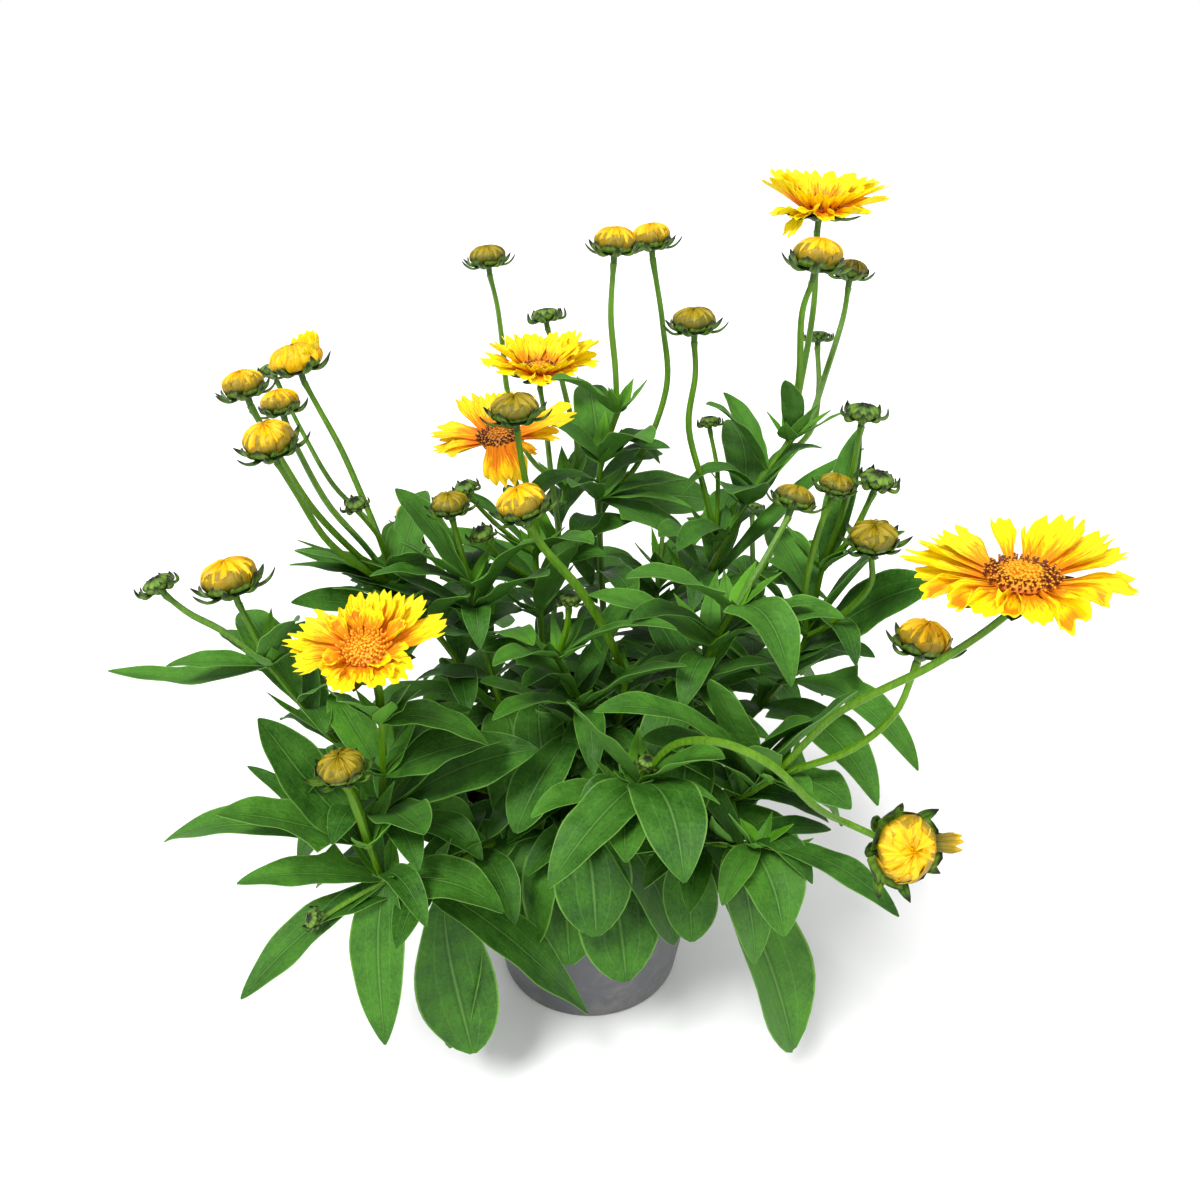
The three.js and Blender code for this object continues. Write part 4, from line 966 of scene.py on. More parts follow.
# The folded petals of a half-open bloom: number, foot and end (degrees) and scale.
FOLDED = ((4, -10.0, 97.0, 0.9), (5, -30.0, 88.0, 0.95), (6, -38.0, 70.0, 1.0), (6, -38.0, 40.0, 1.03))
# Petals that are rolled further than this get painted shade, a dark orange, in the hollow of their tube.
ROLLED = 0.45
# How far the orange base of a bloom's petals reaches, where it isn't the usual way.
USUAL_WARMTH = 0.1
WARMTH = {"right": 0.0, "left": 0.28}
# How dark the outer florets of a disc are, where it isn't 1.
DARKNESS = {"left": 0.1}
# The florets of a disc, which are more where it is wider than this many millimetres.
WIDE_DISC, MANY_FLORETS, FEW_FLORETS = 20, 280, 170


# ---------------------------------------------------------------- the shoots

SHOOTS: tuple[Shoot, ...] = (
    Shoot(
        "shoot_right_tall", 3.6, 2,
        ((22, 6, 90), (26, 6, 112), (38, 5, 165), (50, 5, 212), (69, 9, 255), (87, 13, 283)),
        leaves(
            (4.5, 49, 2, 302, 6, 12), (5, 80, -4, 314, 2, 9), (5, 108, 0, 301, 0, 6, NARROW),
            (4.5, 60, 30, 300, 2, 11), (3, 115, 16, 284, 2, 14), (3, 108, -10, 219, 8, 14),
        ),
        (
            Stalk(5, ((92, 24, 306), (96, 32, 336), (95, 34, 366)),
                  Head(BLOOM, 55, "top", disc=15, lean=(0.04, 0.02, 1), lift=30)),
            Stalk(5, ((88, 9, 312), (86, 4, 338), (89, 4, 351)), Head(BUD, 20, "top", ripe=True)),
            Stalk(5, ((97, 22, 291), (104, 32, 308), (111, 42, 328), (113, 46, 341)),
                  Head(BUD, 15, "top_small")),
            Stalk(4.5, ((99, 32, 280), (105, 48, 294), (105, 60, 312)), Head(GREEN, 11)),
        ),
    ),
    Shoot(
        "shoot_right_back", 3.6, 2,
        ((36, -10, 90), (41, -11, 112), (66, -15, 150), (86, -19, 180), (95, -22, 206), (98, -25, 240)),
        leaves(
            (3.5, 137, -54, 248, 4, 25, LANCE, 34), (4, 126, -34, 262, 3, 16), (3, 131, -86, 183, 12, 18),
            (2.5, 118, -86, 166, 14, 22), (5, 108, -14, 298, 0, 13), (5, 122, -44, 270, 2, 9, NARROW),
            (4, 67, -34, 243, 3, 14),
        ),
        (
            Stalk(5, ((104, -28, 272), (106, -30, 303)), Head(GREEN, 14)),
            Stalk(5, ((105, -36, 258), (111, -41, 280)), Head(GREEN, 14)),
            Stalk(4, ((101, -42, 224), (110, -55, 246), (108, -60, 262)), Head(BUD, 18, "right")),
            Stalk(4, ((90, -34, 235), (92, -38, 262), (96, -38, 276)), Head(BUD, 13, "right_small")),
        ),
    ),
    Shoot(
        "shoot_right_bright", 3.6, 2,
        ((18, -20, 90), (21, -23, 112), (31, -36, 155), (43, -51, 197), (50, -59, 222), (57, -63, 240)),
        leaves(
            (5, 15, -86, 267, 4, 16), (5, 76, -96, 226, 13, 18), (4, 84, -72, 250, 3, 11),
            (3, 74, -78, 225, 3, 18),
        ),
        (
            Stalk(5, ((66, -57, 254), (78, -46, 272)), Head(BUD, 16, "bright")),
        ),
    ),
    Shoot(
        "shoot_right_low", 3.4, 2,
        ((32, -28, 90), (36, -32, 112), (50, -58, 140), (62, -84, 168), (70, -98, 186)),
        leaves(
            (4, 4, -115, 232, 8, 17), (3, 98, -104, 228, 4, 21), (4, 62, -130, 222, 2, 12),
            (4, 96, -118, 200, 4, 18), (3, 45, -104, 230, 4, 18), (2.5, 80, -96, 205, 4, 19),
            (4, 102, -92, 160, 6, 22, LANCE, 10),
        ),
        (
            Stalk(4, ((83, -117, 224), (92, -128, 241), (107, -140, 260), (118, -147, 275),
                  (127, -149, 286)), Head(BLOOM, 68, "right", disc=20.5, lean=(-0.05, -0.02, 1), lift=7)),
            Stalk(4, ((78, -106, 197), (93, -116, 212), (106, -119, 229), (112, -116, 248)),
                  Head(BUD, 18, "right_low", ripe=True)),
        ),
    ),
    Shoot(
        "shoot_front_centre", 3.4, 2,
        ((8, -37, 90), (11, -43, 112), (15, -68, 145), (18, -92, 172), (20, -106, 190)),
        leaves(
            (4, -6, -127, 239, 2, 15), (4, -12, -148, 178, 10, 20), (4, 34, -150, 177, 12, 24),
            (4, 50, -126, 226, 2, 15), (4, 48, -124, 196, 3, 6, NARROW), (3, -20, -118, 186, 6, 12),
        ),
        (
            Stalk(4, ((28, -119, 214), (36, -130, 226), (47, -141, 232), (61, -146, 227), (76, -146, 211),
                  (89, -141, 200), (100, -150, 200)),
                  Head(BUD, 23, "opening", ripe=True, lean=(0.35, -0.85, 0.4))),
            Stalk(4, ((22, -112, 202),), Head(GREEN, 7)),
        ),
    ),
    Shoot(
        "shoot_front_right", 3.4, 1,
        ((24, -37, 90), (29, -44, 112), (44, -68, 132), (58, -90, 148), (66, -102, 158)),
        leaves(
            (4, 113, -137, 155, 6, 13), (1.5, 93, -98, 38, 22, 41, SPOON), (3.5, 75, -128, 141, 8, 24),
            (4, 50, -128, 152, 4, 11), (3, 70, -110, 102, 10, 23), (2, 44, -92, 98, 12, 22, SPOON),
        ),
    ),
    Shoot(
        "shoot_centre", 3.2, 2,
        ((0, -22, 90), (0, -26, 112), (0, -36, 150), (-2, -46, 185), (-12, -53, 213)),
        leaves(
            (4, -33, -95, 236, 3, 12), (3, -34, -95, 214, 4, 12), (4, 33, -86, 248, 5, 10),
            (3, 38, -84, 226, 6, 15), (2.5, -34, -78, 223, 4, 15), (3, 22, -40, 232, 4, 16),
        ),
        (
            Stalk(4, ((-8, -52, 226), (-7, -50, 234)), Head(GREEN, 9)),
        ),
    ),
    Shoot(
        "shoot_centre_thick", 4, 2,
        ((6, -7, 90), (7, -10, 112), (10, -24, 150), (15, -38, 180), (16, -46, 198)),
        leaves(
            (4, 44, -62, 216, 4, 13),
        ),
        (
            Stalk(4, ((9, -54, 223), (-2, -58, 246), (-15, -60, 264), (-21, -60, 274)),
                  Head(BUD, 19, "centre", ripe=True), radius=1.5),
        ),
    ),
    Shoot(
        "shoot_slender", 3, 2,
        ((32, 20, 90), (35, 20, 112), (46, 16, 160), (56, 12, 205), (57, 8, 238)),
        leaves(
            (4, 30, -16, 250, 4, 15), (4, 62, 16, 272, 1, 8, NARROW),
        ),
        (
            Stalk(4, ((51, 7, 262), (43, 8, 290), (45, 10, 312), (44, 10, 326)), Head(BUD, 18, "slender")),
            Stalk(4, ((57, 14, 266), (53, 18, 286)), Head(GREEN, 9), radius=0.9),
        ),
    ),
    Shoot(
        "shoot_back_tall", 3.6, 2,
        ((8, 14, 90), (9, 16, 112), (9, 24, 160), (6, 28, 210), (5, 28, 250), (6, 27, 268), (13, 24, 292)),
        leaves(
            (5, 36, 18, 278, 3, 11), (4, 45, 0, 258, 3, 9, NARROW), (6, -15, 12, 311, 3, 14),
            (4, -6, -14, 274, 2, 13), (4, 51, 0, 232, 5, 16), (4, 44, 16, 258, 3, 11, NARROW),
            (5, 30, 30, 268, 5, 15),
        ),
        (
            Stalk(6, ((12, 23, 312), (10, 22, 334), (11, 22, 355)), Head(BUD, 17, "tall_left", ripe=True)),
            Stalk(4, ((22, 34, 264), (35, 42, 297), (33, 46, 325), (28, 48, 353)),
                  Head(BUD, 17, "tall_right", ripe=True)),
        ),
    ),
    Shoot(
        "shoot_back_left", 3.4, 3,
        ((-10, 30, 90), (-12, 34, 112), (-18, 48, 160), (-16, 62, 210), (-12, 68, 240)),
        stalks=(
            Stalk(4, ((-30, 70, 257), (-39, 78, 284), (-41, 82, 305), (-43, 84, 325), (-46, 84, 340)),
                  Head(BUD, 17, "back_left")),
            Stalk(4, ((-6, 76, 258), (-11, 84, 280), (-17, 88, 304), (-20, 90, 314)), Head(GREEN, 15)),
        ),
    ),
    Shoot(
        "shoot_middle", 3.8, 2,
        ((-14, 2, 90), (-16, 2, 112), (-20, 2, 160), (-22, 2, 205), (-23, 0, 235)),
        leaves(
            (4, -2, -34, 262, 3, 16), (4, -58, -2, 262, 3, 11), (3, -4, -22, 248, 3, 14),
        ),
        (
            Stalk(3, ((-14, 26, 226), (-17, 40, 254), (-20, 49, 282), (-22, 50, 296)),
                  Head(BLOOM, 54, "middle", disc=16, lean=(0.05, -0.02, 1), lift=26)),
            Stalk(4, ((-27, 5, 252), (-31, 6, 267), (-36, 4, 279)),
                  Head(OLD, 62, "old", disc=17, lean=(-0.1, -0.2, 1), lift=4)),
            Stalk(4, ((-21, -16, 252), (-24, -22, 274), (-26, -25, 290), (-27, -26, 300)),
                  Head(BUD, 19, "middle")),
            Stalk(4, ((-38, -8, 252), (-49, -14, 268)), Head(GREEN, 10), radius=0.9),
            Stalk(3.5, ((-34, -16, 238), (-42, -24, 252)), Head(GREEN, 10), radius=0.9),
        ),
    ),
    Shoot(
        "shoot_left_inner", 3.4, 2,
        ((-22, -8, 90), (-26, -10, 112), (-38, -16, 160), (-46, -22, 205), (-49, -26, 232)),
        leaves(
            (4, -80, -12, 270, 2, 16), (4, -84, -54, 250, 4, 12), (3.5, -14, -66, 262, 3, 17),
            (3, -20, -74, 232, 4, 12), (2, -35, -66, 99, 26, 28), (3.5, -20, -42, 262, 4, 15),
        ),
        (
            Stalk(4, ((-52, -29, 252), (-54, -30, 264)), Head(BUD, 15, "left_inner")),
        ),
    ),
    Shoot(
        "shoot_left_high", 3.8, 2,
        ((-28, 6, 90), (-33, 6, 112), (-50, 0, 160), (-68, -8, 200), (-83, -16, 228)),
        leaves(
            (4, -121, -34, 246, 3, 9), (4, -112, -44, 256, 2, 12), (4, -66, -40, 250, 3, 15),
            (3, -104, -6, 232, 4, 17), (4, -84, 22, 250, 4, 15), (3, -38, -40, 236, 6, 13),
            (3, -121, -40, 236, 4, 15, LANCE, -20), (3.5, -124, -16, 244, 3, 13, LANCE, -20),
        ),
        (
            Stalk(4, ((-89, -10, 248), (-97, -2, 266), (-105, 6, 282), (-114, 13, 297), (-119, 14, 308)),
                  Head(HALF, 24, "high")),
            Stalk(4, ((-95, -26, 247), (-108, -34, 270), (-118, -35, 292), (-127, -33, 312)),
                  Head(BUD, 16, "high_left", ripe=True)),
            Stalk(4, ((-94, -14, 245), (-108, -13, 264), (-119, -8, 286), (-123, -6, 297)),
                  Head(BUD, 16, "high_middle", ripe=True)),
            Stalk(4, ((-90, -34, 243), (-101, -46, 262), (-108, -54, 285), (-112, -58, 298)),
                  Head(BUD, 19, "high_front", ripe=True)),
            Stalk(4, ((-92, 0, 246), (-112, 14, 262), (-126, 28, 280), (-138, 38, 302)),
                  Head(GREEN, 13), radius=0.95),
            Stalk(4, ((-84, -26, 252), (-90, -36, 270)), Head(GREEN, 9), radius=0.9),
        ),
    ),
    Shoot(
        "shoot_left_long", 3.4, 2,
        ((-36, -12, 90), (-41, -14, 112), (-66, -28, 134), (-92, -46, 152), (-108, -58, 180),
         (-124, -67, 218)),
        leaves(
            (5, -191, -60, 213, -5, 13), (5, -161, -74, 223, 1, 11), (5, -147, -52, 231, 1, 8),
            (5, -107, -78, 246, 2, 15), (4, -134, -30, 204, 5, 16),
        ),
        (
            Stalk(5, ((-130, -63, 232), (-134, -61, 242)), Head(BUD, 22, "left_long", ripe=True)),
            Stalk(5, ((-140, -64, 231), (-152, -64, 239), (-160, -64, 247)), Head(GREEN, 13)),
        ),
    ),
    Shoot(
        "shoot_left_flower", 3.6, 1,
        ((-30, -24, 90), (-34, -29, 112), (-54, -54, 128), (-74, -74, 142), (-81, -84, 160),
         (-78, -92, 184), (-74, -101, 214)),
        leaves(
            (6, -84, -116, 234, 1, 13), (6, -60, -96, 226, 1, 11), (6, -36, -101, 203, 8, 16),
            (5, -32, -84, 194, 5, 23), (4, -19, -82, 189, 2, 25, LANCE, 18), (5, -100, -70, 208, 4, 15),
            (3, -47, -66, 128, 4, 22, LANCE, 30), (3, -108, -60, 176, 6, 18),
        ),
        (
            Stalk(6, ((-73, -104, 230), (-75, -105, 240)),
                  Head(BLOOM, 57, "left", disc=17, lean=(-0.04, -0.3, 1), lift=10), radius=1.4),
        ),
    ),
    Shoot(
        "shoot_left_low", 3.8, 0,
        ((-24, -34, 90), (-28, -40, 113), (-47, -69, 127), (-68, -95, 133), (-78, -105, 143),
         (-82, -110, 165)),
        leaves(
            (4, -79, -132, 84, 10, 20), (4, -131, -134, 122, 3, 18), (5, -121, -95, 212, 2, 24),
            (5, -131, -88, 186, 3, 9), (5, -165, -100, 160, 9, 18), (5, -131, -122, 186, 2, 20),
            (4, -133, -114, 152, 2, 15), (3.5, -104, -120, 116, 3, 13), (3.5, -96, -130, 112, 2, 8, NARROW),
            (3.5, -66, -122, 118, 2, 6, NARROW), (4, -30, -117, 140, 7, 21), (3, -1, -96, 58, 14, 29),
            (2.5, -50, -102, 42, 16, 33, SPOON), (2, -64, -90, 36, 18, 30, SPOON),
        ),
        (
            Stalk(5, ((-84, -113, 185), (-86, -115, 197)), Head(BUD, 17, "left_low"), radius=1.6),
            Stalk(4, ((-92, -114, 140), (-101, -120, 137)), Head(GREEN, 8), radius=0.9),
        ),
    ),
    Shoot(
        "rosette_front", 4, 2,
        ((-10, -36, 90), (-10, -38, 104), (-9, -42, 116)),
        leaves(
            (2, 17, -90, 60, 22, 39, SPOON), (2, 4, -96, 104, 18, 32, SPOON),
        ),
    ),
    Shoot("rosette_back", 4, 4, ((12, 34, 90), (12, 36, 104), (13, 40, 116))),
    Shoot(
        "shoot_back_right", 3.4, 4,
        ((34, 4, 90), (38, 7, 112), (56, 26, 140), (74, 46, 168), (84, 58, 190)),
        stalks=(
            Stalk(4, ((94, 70, 206), (102, 78, 224)), Head(BUD, 16, "back_right")),
            Stalk(4, ((84, 72, 204), (84, 82, 220)), Head(GREEN, 10)),
        ),
    ),
    Shoot(
        "shoot_back_centre", 3.4, 4,
        ((24, 36, 90), (26, 41, 112), (32, 66, 136), (36, 90, 160), (38, 102, 180)),
        stalks=(
            Stalk(4, ((40, 114, 192), (42, 122, 208)), Head(BUD, 17, "back_centre", ripe=True)),
        ),
    ),
    Shoot(
        "shoot_back_far", 3.4, 4,
        ((-26, 24, 90), (-29, 28, 112), (-46, 50, 136), (-64, 72, 160), (-74, 84, 180)),
        stalks=(
            Stalk(4, ((-86, 94, 192), (-94, 100, 206)), Head(BUD, 16, "back_far", ripe=True)),
            Stalk(4, ((-74, 96, 194), (-74, 106, 208)), Head(GREEN, 10)),
        ),
    ),
)


class Finish(Enum):
    """The finishes of the plant and its pot; the value names the material."""

    LEAF = "leaf_blade"
    STEM = "ribbed_stem"
    BRACT = "bract"
    PETAL = "fresh_petal"
    PETAL_OLD = "faded_petal"
    FLORET = "disc_floret"
    FLORET_OLD = "spent_floret"
    SKIN_RIPE = "yellow_bud_skin"
    SKIN_OLIVE = "olive_bud_skin"
    POT = "moulded_pot"
    SOIL = "potting_soil"
    FLOOR = "pale_floor"


Materials = dict[Finish, Material]


def dress(piece: Thing, node: str) -> None:
    """Lets a piece stand for a node of the frame, on the one body."""
    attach(piece, "root")
    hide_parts(node)
    log.info("%s: %d faces for node %s", piece.name, len(piece.data.polygons), node)


@dataclass(frozen=True)
class ShootPiece:
    """A leafy shoot with its stem, leaves, stalks and the green parts of their heads."""

    shoot: Shoot
    index: int
    tips: Array
    low: Array
    high: Array
    extra: tuple[Leaf, ...] = ()
    reach: tuple[float, float] = (66.0, 24.0)
    fill_pairs: int = 5
    fill_reach: float = 46.0
    tuft: tuple[int, ...] = (0, 0, 0, 0, 0, 1, 1, 1, 2, 2)

    def build(self, materials: Materials) -> None:
        """Builds the shoot as one mesh in place of its node."""
        shape = Shape()
        self._add_stem(shape)
        self._add_leaves(shape)
        for stalk in self.shoot.stalks:
            self._add_stalk(shape, stalk)
            self._add_bracts(shape, stalk)
        finishes = [materials[finish] for finish in (Finish.LEAF, Finish.STEM, Finish.BRACT)]
        dress(shape.build(f"{self.shoot.name}_grown", finishes), self.shoot.name)

    def _add_stem(self, shape: Shape) -> None:
        """The stem: a ribbed tube that tapers evenly and swells a little at each joint."""
        course = self.shoot.course
        t = np.linspace(0, 1, max(8, round(course.length() / 3)))
        joint = t * self.shoot.last
        swell = 1 + 0.2 * bell(joint - np.round(joint), 0.09)
        radius = self.shoot.girth / 2 * (1 - (1 - STEM_TAPER) * t) * swell
        shape.add(tube(course, t, radius, 12, 6, 0.08), ripple(self.index), 1)

    def _ruled(self) -> list[Leaf]:
        """The opposite pairs that the frame adds by rule, each pair turned a quarter from the last."""
        last, (reach, less) = self.shoot.last, self.reach
        found = []
        for pair in range(self.shoot.pairs):
            share = (pair + 0.4 + 0.4 * ripple(pair, self.index)) / self.shoot.pairs
            joint = min(last, np.floor(2 * (FIRST_PAIR + (last - FIRST_PAIR) * share) + 0.5) / 2)
            turn = 360 * ripple(self.index, 1) + 90 * pair
            low = share < LOW_PAIRS
            rise, arch, outline = (-14, 14, SPOON) if low else (16 + 10 * share, 5, LANCE)
            out = reach - less * share
            for way in (0, 180):
                angle = np.radians(turn + way + 30 * (ripple(pair, 2 if way else 1) - 0.5))
                step = np.array([out * np.cos(angle), out * np.sin(angle), rise])
                tip = tuple(self.shoot.joint_at(joint) + step)
                found.append(Leaf(joint, tip, arch, 25 - 9 * share, outline))
        return found

    def _bent_tip(self, leaf: Leaf) -> Array | None:
        """The tip in the bend that the frame's leaf has, or None where the frame has no such leaf."""
        root = self.shoot.joint_at(leaf.joint)
        for lift, swing in BENDS:
            x, y, z = np.array(leaf.tip) - root
            c, s = np.cos(np.radians(swing)), np.sin(np.radians(swing))
            tip = root + (c * x - s * y, s * x + c * y, z + lift)
            if np.linalg.norm(self.tips - tip, axis=1).min() < TIP_NEAR:
                return tip
        return None

    def _add_leaves(self, shape: Shape) -> None:
        """The frame's leaves in their bends, and smaller ones by rule that fill the shoot's middle."""
        kept = [(leaf, self._bent_tip(leaf)) for leaf in (*self.shoot.leaves, *self._ruled())]
        kept += [(leaf, np.array(leaf.tip)) for leaf in self.extra]
        found = [(leaf, tip) for leaf, tip in kept if tip is not None]
        if len(found) < len(kept):
            log.info("%s: %d leaves have no room", self.shoot.name, len(kept) - len(found))
        if found:
            table = [(leaf.arch, leaf.width, leaf.roll, *leaf.outline.value) for leaf, _ in found]
            table = np.array(table, float)
            root = np.array([self.shoot.joint_at(leaf.joint) for leaf, _ in found])
            tip = np.array([tip for _, tip in found])
            arch, width, roll = table.T[:3]
            seed = (ripples(len(found), self.index) + 0.071 * self.index) % 1.0
            broad = np.clip((width - 14) / 14, 0, 1)
            surface = Blades().grow(LeafBatch(root, tip, arch, width, table[:, 3:], roll, seed))
            shape.add(surface, 0.14 + (0.68 - 0.3 * broad) * ripple_of(seed, 1))
        self._add_fill(shape)
        self._add_young(shape)

    def _add_fill(self, shape: Shape) -> None:
        """Inner leaves in pairs up the stem, each pair turned by the golden angle."""
        count = 2 * self.fill_pairs
        pair, side = np.divmod(np.arange(count), 2)
        t = 0.34 + 0.56 * (pair + 0.5) / self.fill_pairs
        turn = GOLDEN_ANGLE * pair + np.pi * side + 1.7 * self.index
        root = self.shoot.course.at(t)
        reach = self.fill_reach * (1.1 - 0.45 * t) * (0.8 + 0.4 * ripples(count, self.index))
        rise = -8 + 30 * t * ripples(count, 2)
        step = np.stack([reach * np.cos(turn), reach * np.sin(turn), rise], axis=-1)
        tip = np.clip(root + step, self.low + 2, self.high - 2)
        tip[:, 2] = np.maximum(tip[:, 2], 12)
        seed = (ripples(count, self.index + 3) + 0.037 * self.index) % 1.0
        outline = np.array([LANCE.value])
        arch = 4 + 6 * ripples(count, 1)
        batch = LeafBatch(root, tip, arch, 17 - 7 * t, outline, 20 * (seed - 0.5), seed)
        shape.add(Blades(rows=14, columns=7).grow(batch), 0.3 * ripple_of(seed, 1))

    def _add_young(self, shape: Shape) -> None:
        """Tufts of young leaves at the upper joints and at the end of the stem, steep and narrow."""
        count = len(self.tuft)
        joint = np.maximum(self.shoot.last - np.array(self.tuft, float), 1)
        root = self.shoot.joint_at(joint)
        turn = GOLDEN_ANGLE * np.arange(count) * 1.1 + 0.9 * self.index
        size = (17 + 20 * ripples(count, self.index))[:, None]
        size[: self.tuft.count(0)] *= 0.72
        lean = 0.55 + 0.5 * ripples(count, 3)
        step = np.stack([lean * np.cos(turn), lean * np.sin(turn), 0 * turn + 0.8], axis=-1)
        tip = np.clip(root + size * unit(step), self.low + 1, self.high - 1)
        seed = (ripples(count, self.index + 5) + 0.053 * self.index) % 1.0
        width = 4.5 + 4.5 * ripples(count, 2)
        batch = LeafBatch(root, tip, 0 * turn - 1.5, width, np.array([NARROW.value]), 0 * turn, seed)
        shape.add(Blades(rows=12, columns=5).grow(batch), 0.75 + 0.25 * ripple_of(seed, 1))

    def _add_stalk(self, shape: Shape, stalk: Stalk) -> None:
        """A ribbed stalk and the cup under its head."""
        course = self.shoot.way_of(stalk)
        seat = Seat.of(self.shoot, stalk)
        t = np.linspace(0, 1, max(6, round(course.length() / 4)))
        flare = 1.02 + 0.18 * (1 - t) + 0.3 * np.maximum(t - 0.94, 0) / 0.06 + 0.25 * bell(t, 0.04)
        radius = stalk.radius * flare * (1 - 0.05 * np.sin(9 * t))
        shade = 0.4 + 0.6 * ripple(self.index + shape.count)
        shape.add(tube(course, t, radius, 10, 5, 0.07), shade, 1)
        r, deep = stalk.radius, CALYX_DROP * seat.bract
        rim = seat.bract * (0.7 if stalk.head.kind is OLD else 1.0)
        cup = np.array([[0, -0.8], [0.9 * r, -0.7], [1.12 * r, 0.1], [1.2 * r, 0.7 * deep],
                        [max(0.5 * rim, 1.3 * r), 0.88 * deep], [0.84 * rim, deep + 0.1],
                        [0.86 * rim, deep + 0.6], [0.78 * rim, deep + 0.95], [0, deep + 0.95]])
        shape.add(turned(seat.end, seat.axis, cup, 24), 0.4, 2)

    def _add_bracts(self, shape: Shape, stalk: Stalk) -> None:
        """The bracts round a head, and the green skins of a bud that is still closed."""
        seat, kind = Seat.of(self.shoot, stalk), stalk.head.kind
        number = shape.count - 2
        turn = 2 * np.pi * ripple(self.index, number) / 8
        between = turn + np.pi / 8
        tint = 0.3 + 0.7 * ripples(8, number)
        if kind is GREEN:
            shape.add(Bracts(0.5, 0.5).grow(seat, DISHED, turn), tint, 2)
            shape.add(Bracts(0.62).grow(seat, CLOSED, between), 0.5 + 0.5 * tint, 2)
            radius, height = 0.8 * seat.bract, 0.56 * seat.bract
            shape.add(Scales.core(seat, radius, height), 0.9, 2)
            skins = Scales(5, -30.0, 84.0, 1.3, 1.04, 2.0, ruffle=0.05).grow(seat, radius, height, turn)
            shape.add(skins, 0.6 + 0.4 * ripples(5, number), 2)
            return
        rise = 0.55 * np.sin(np.radians(stalk.head.lift))
        curves = {BLOOM: SPREADING_LOW + [[0, 0], [0, 0], [0, rise]], OLD: SPREADING_OLD}
        shape.add(Bracts(0.42).grow(seat, curves.get(kind, SPREADING), between), tint, 2)
        if kind in (BUD, HALF):
            curve = OPENED if stalk.head.name == "opening" else HUGGING
            shape.add(Bracts(0.8, 0.05, 0.35).grow(seat, curve, turn), 0.5 + 0.5 * tint, 2)


@dataclass(frozen=True)
class BloomPiece:
    """The petals and the disc of an open, an old or a half-open bloom."""

    shoot: Shoot
    stalk: Stalk

    def build(self, materials: Materials) -> None:
        """Builds the petals, and the disc where the bloom is open, in place of their nodes."""
        head, seat = self.stalk.head, Seat.of(self.shoot, self.stalk)
        old, half = head.kind is OLD, head.kind is HALF
        hub = 0.94 * seat.bract if half else 0.46 * head.disc
        ring = BLOOM_PETALS[head.name]
        warmth = WARMTH.get(head.name, USUAL_WARMTH) + 0.3 * ripples(len(ring), 3)
        # a tint of 1 or more marks a rolled petal, whose hollow gets painted shade
        tint = warmth + np.array([petal.roll > ROLLED for petal in ring])
        shape = Shape()
        grown = Petals(claw=0.34 if head.kind is BLOOM else 0.6).grow(seat, ring, head.size / 2, hub)
        shape.add(grown, tint)
        finishes = [materials[Finish.PETAL_OLD if old else Finish.PETAL]]
        if half:
            finishes.append(materials[Finish.SKIN_RIPE])
            self._add_folded(shape, seat)
        else:
            shape.add(self._hub(seat, hub, HUB_HEIGHT - 0.4), 0.9)
        name = f"petals_{head.name}"
        dress(shape.build(f"{name}_grown", finishes), name)
        if not half:
            self._build_disc(seat, materials[Finish.FLORET_OLD if old else Finish.FLORET])

    def _build_disc(self, seat: Seat, finish: Material) -> None:
        """Builds the disc in place of its node."""
        head = self.stalk.head
        florets = Florets(MANY_FLORETS if head.disc > WIDE_DISC else FEW_FLORETS, 0.48 * head.disc)
        foot = seat.top + seat.axis * HUB_HEIGHT
        disc = Shape()
        disc.add(florets.cushion(foot, seat.axis), 0.3)
        disc.add(florets.grow(foot, seat.axis), DARKNESS.get(head.name, 1.0))
        name = f"disc_{head.name}"
        dress(disc.build(f"{name}_grown", [finish]), name)

    @staticmethod
    def _add_folded(shape: Shape, seat: Seat) -> None:
        """The closed petals of a half-open bloom: crumpled whorls round a dome."""
        radius, height = seat.bract, 1.04 * seat.bract
        shape.add(Scales.core(seat, 0.84 * radius, 0.86 * height), 0.6)
        for level, (count, low, high, scale) in enumerate(FOLDED):
            whorl = Scales(count, low, high, 1.35, scale, 1.5, ruffle=0.08)
            tint = 1.2 - 0.12 * level + 0.4 * ripples(count, level)
            shape.add(whorl.grow(seat, radius, height, 0.7 * level), tint, 1)

    @staticmethod
    def _hub(seat: Seat, radius: float, height: float) -> Surface:
        """The closed middle that the petals grow from, a flat dome."""
        profile = np.array([[0, 0], [0.86, 0], [1.0, 0.35], [0.9, 0.7], [0.5, 0.93], [0, 1.0]])
        return turned(seat.top, seat.axis, profile * (radius, height), 32)


